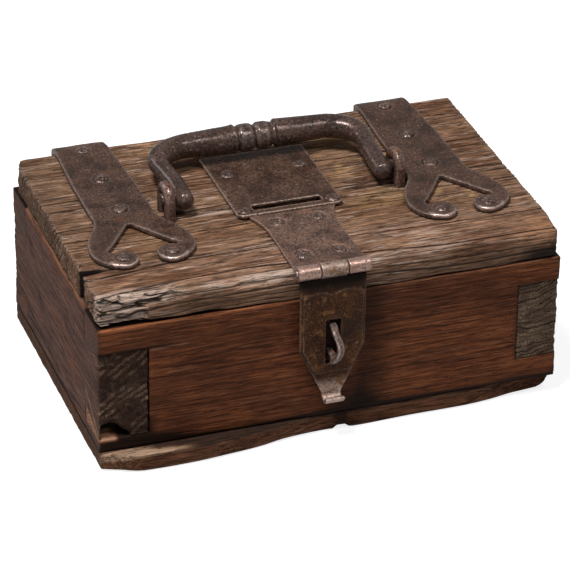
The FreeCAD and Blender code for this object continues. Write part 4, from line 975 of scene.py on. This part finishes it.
strap_top, curl_top, plate_front, plate_back, hasp_leaf_top = 112.6, 113.3, 112.2, 112.0, 111.0
leaf_face = 93
strap_places = [(0, 83.5), (0, 44.75), (0, 6), (-scroll_spread, scroll_line), (scroll_spread, scroll_line)]
lid_places = [(centre + x, y, strap_top if y > 0 else curl_top)
              for centre in strap_centres.values() for x, y in strap_places]
lid_places += [(-29.5, -17, plate_front), (24.5, -17, plate_front),
               (-25, 29, plate_back), (20, 29, plate_back)]
lid_places += [(x, y, hasp_leaf_top) for x, y in ((-15, -34), (10, -34), (-13.5, -74.5), (8.5, -74.5))]
driven("lid_clout_nails", lid_places, "lid",
       ["left_strap_nails", "right_strap_nails", "slot_plate_nails", "hasp_leaf_nails"])
for side, centre in strap_centres.items():
    driven(side + "_leaf_clout_nails", [(centre, leaf_face, z) for z in (78, 65, 52)], "box",
           [side + "_leaf_nails"], (-math.pi / 2, 0, 0))
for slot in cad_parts["base_nails"].material_slots:
    slot.material = nail_iron


# Setting
# A plain pale floor in a white room with weak light from all round. A soft lamp hangs above at the
# left, with weaker ones at the right, in front and behind, and the camera looks down as at a table.

def white_glow(tree, mirrored, seen_share, all_round):
    """A strength of white that the camera sees, mirrors see in part and the box hardly gets light from."""
    rays = node(tree, "ShaderNodeLightPath").outputs
    seen = sums(tree, "MAXIMUM", rays["Is Camera Ray"], rays["Is Transmission Ray"])
    shown = sums(tree, "MULTIPLY_ADD", seen, seen_share, all_round)
    return sums(tree, "MULTIPLY_ADD", rays["Is Glossy Ray"], mirrored, shown)


white = (1, 1, 1, 1)
floor_finish = bpy.data.materials.new("pale_floor")
floor_finish.use_nodes = True
tree = floor_finish.node_tree
floor_shader = tree.nodes["Principled BSDF"]
floor_shader.inputs["Base Color"].default_value = (0.45, 0.45, 0.45, 1)
floor_shader.inputs["Roughness"].default_value = 0.9
floor_shader.inputs["Specular IOR Level"].default_value = 0.0
floor_shader.inputs["Emission Color"].default_value = white
floor_glow = white_glow(tree, mirrored=0.3, seen_share=0.8, all_round=0.0)
tree.links.new(floor_glow, floor_shader.inputs["Emission Strength"])
floor_mesh = bpy.data.meshes.new("floor")
floor_mesh.from_pydata([(-6, -6, 0), (6, -6, 0), (6, 6, 0), (-6, 6, 0)], [], [(0, 1, 2, 3)])
floor_mesh.materials.append(floor_finish)
floor = in_scene("floor", floor_mesh)

world = bpy.data.worlds.new("room")
world.use_nodes = True
bpy.context.scene.world = world
backdrop = world.node_tree.nodes["Background"]
backdrop.inputs["Color"].default_value = white
glow = white_glow(world.node_tree, mirrored=0.2, seen_share=0.92, all_round=0.08)
world.node_tree.links.new(glow, backdrop.inputs["Strength"])


def lamp(name, place, power, size):
    """A square soft lamp that faces the box."""
    light = bpy.data.lights.new(name, "AREA")
    light.energy = power
    light.size = size
    hung = in_scene(name, light)
    hung.location = place
    hung.rotation_euler = (Vector((0, 0, 0.07)) - Vector(place)).to_track_quat("-Z", "Y").to_euler()


lamp("key", (-0.55, -0.36, 1.75), power=34, size=0.36)
lamp("fill", (0.55, -0.85, 1.65), power=8.5, size=0.4)
lamp("front", (-0.5, -1.7, 0.7), power=1.5, size=0.3)
lamp("back", (-1.3, 1.3, 1.0), power=4, size=0.5)

azimuth, elevation, roll = (math.radians(angle) for angle in (-19.556, 29.86, 0.875))
aim, reach = Vector((-0.00177, -0.01133, 0.055)), 2.07208
back = Vector((math.sin(azimuth) * math.cos(elevation), -math.cos(azimuth) * math.cos(elevation),
               math.sin(elevation)))
right = Vector((math.cos(azimuth), math.sin(azimuth), 0))
up = back.cross(right)
turned_right = math.cos(roll) * right + math.sin(roll) * up
turned_up = math.cos(roll) * up - math.sin(roll) * right
camera = in_scene("camera", bpy.data.cameras.new("camera"))
camera.data.lens = 221.05
camera.data.sensor_width = 36
camera.data.clip_end = 50
camera.matrix_world = Matrix.Translation(aim + reach * back) @ Matrix(
    (turned_right, turned_up, back)).transposed().to_4x4()
bpy.context.scene.camera = camera
bpy.context.scene.view_settings.view_transform = "Standard"
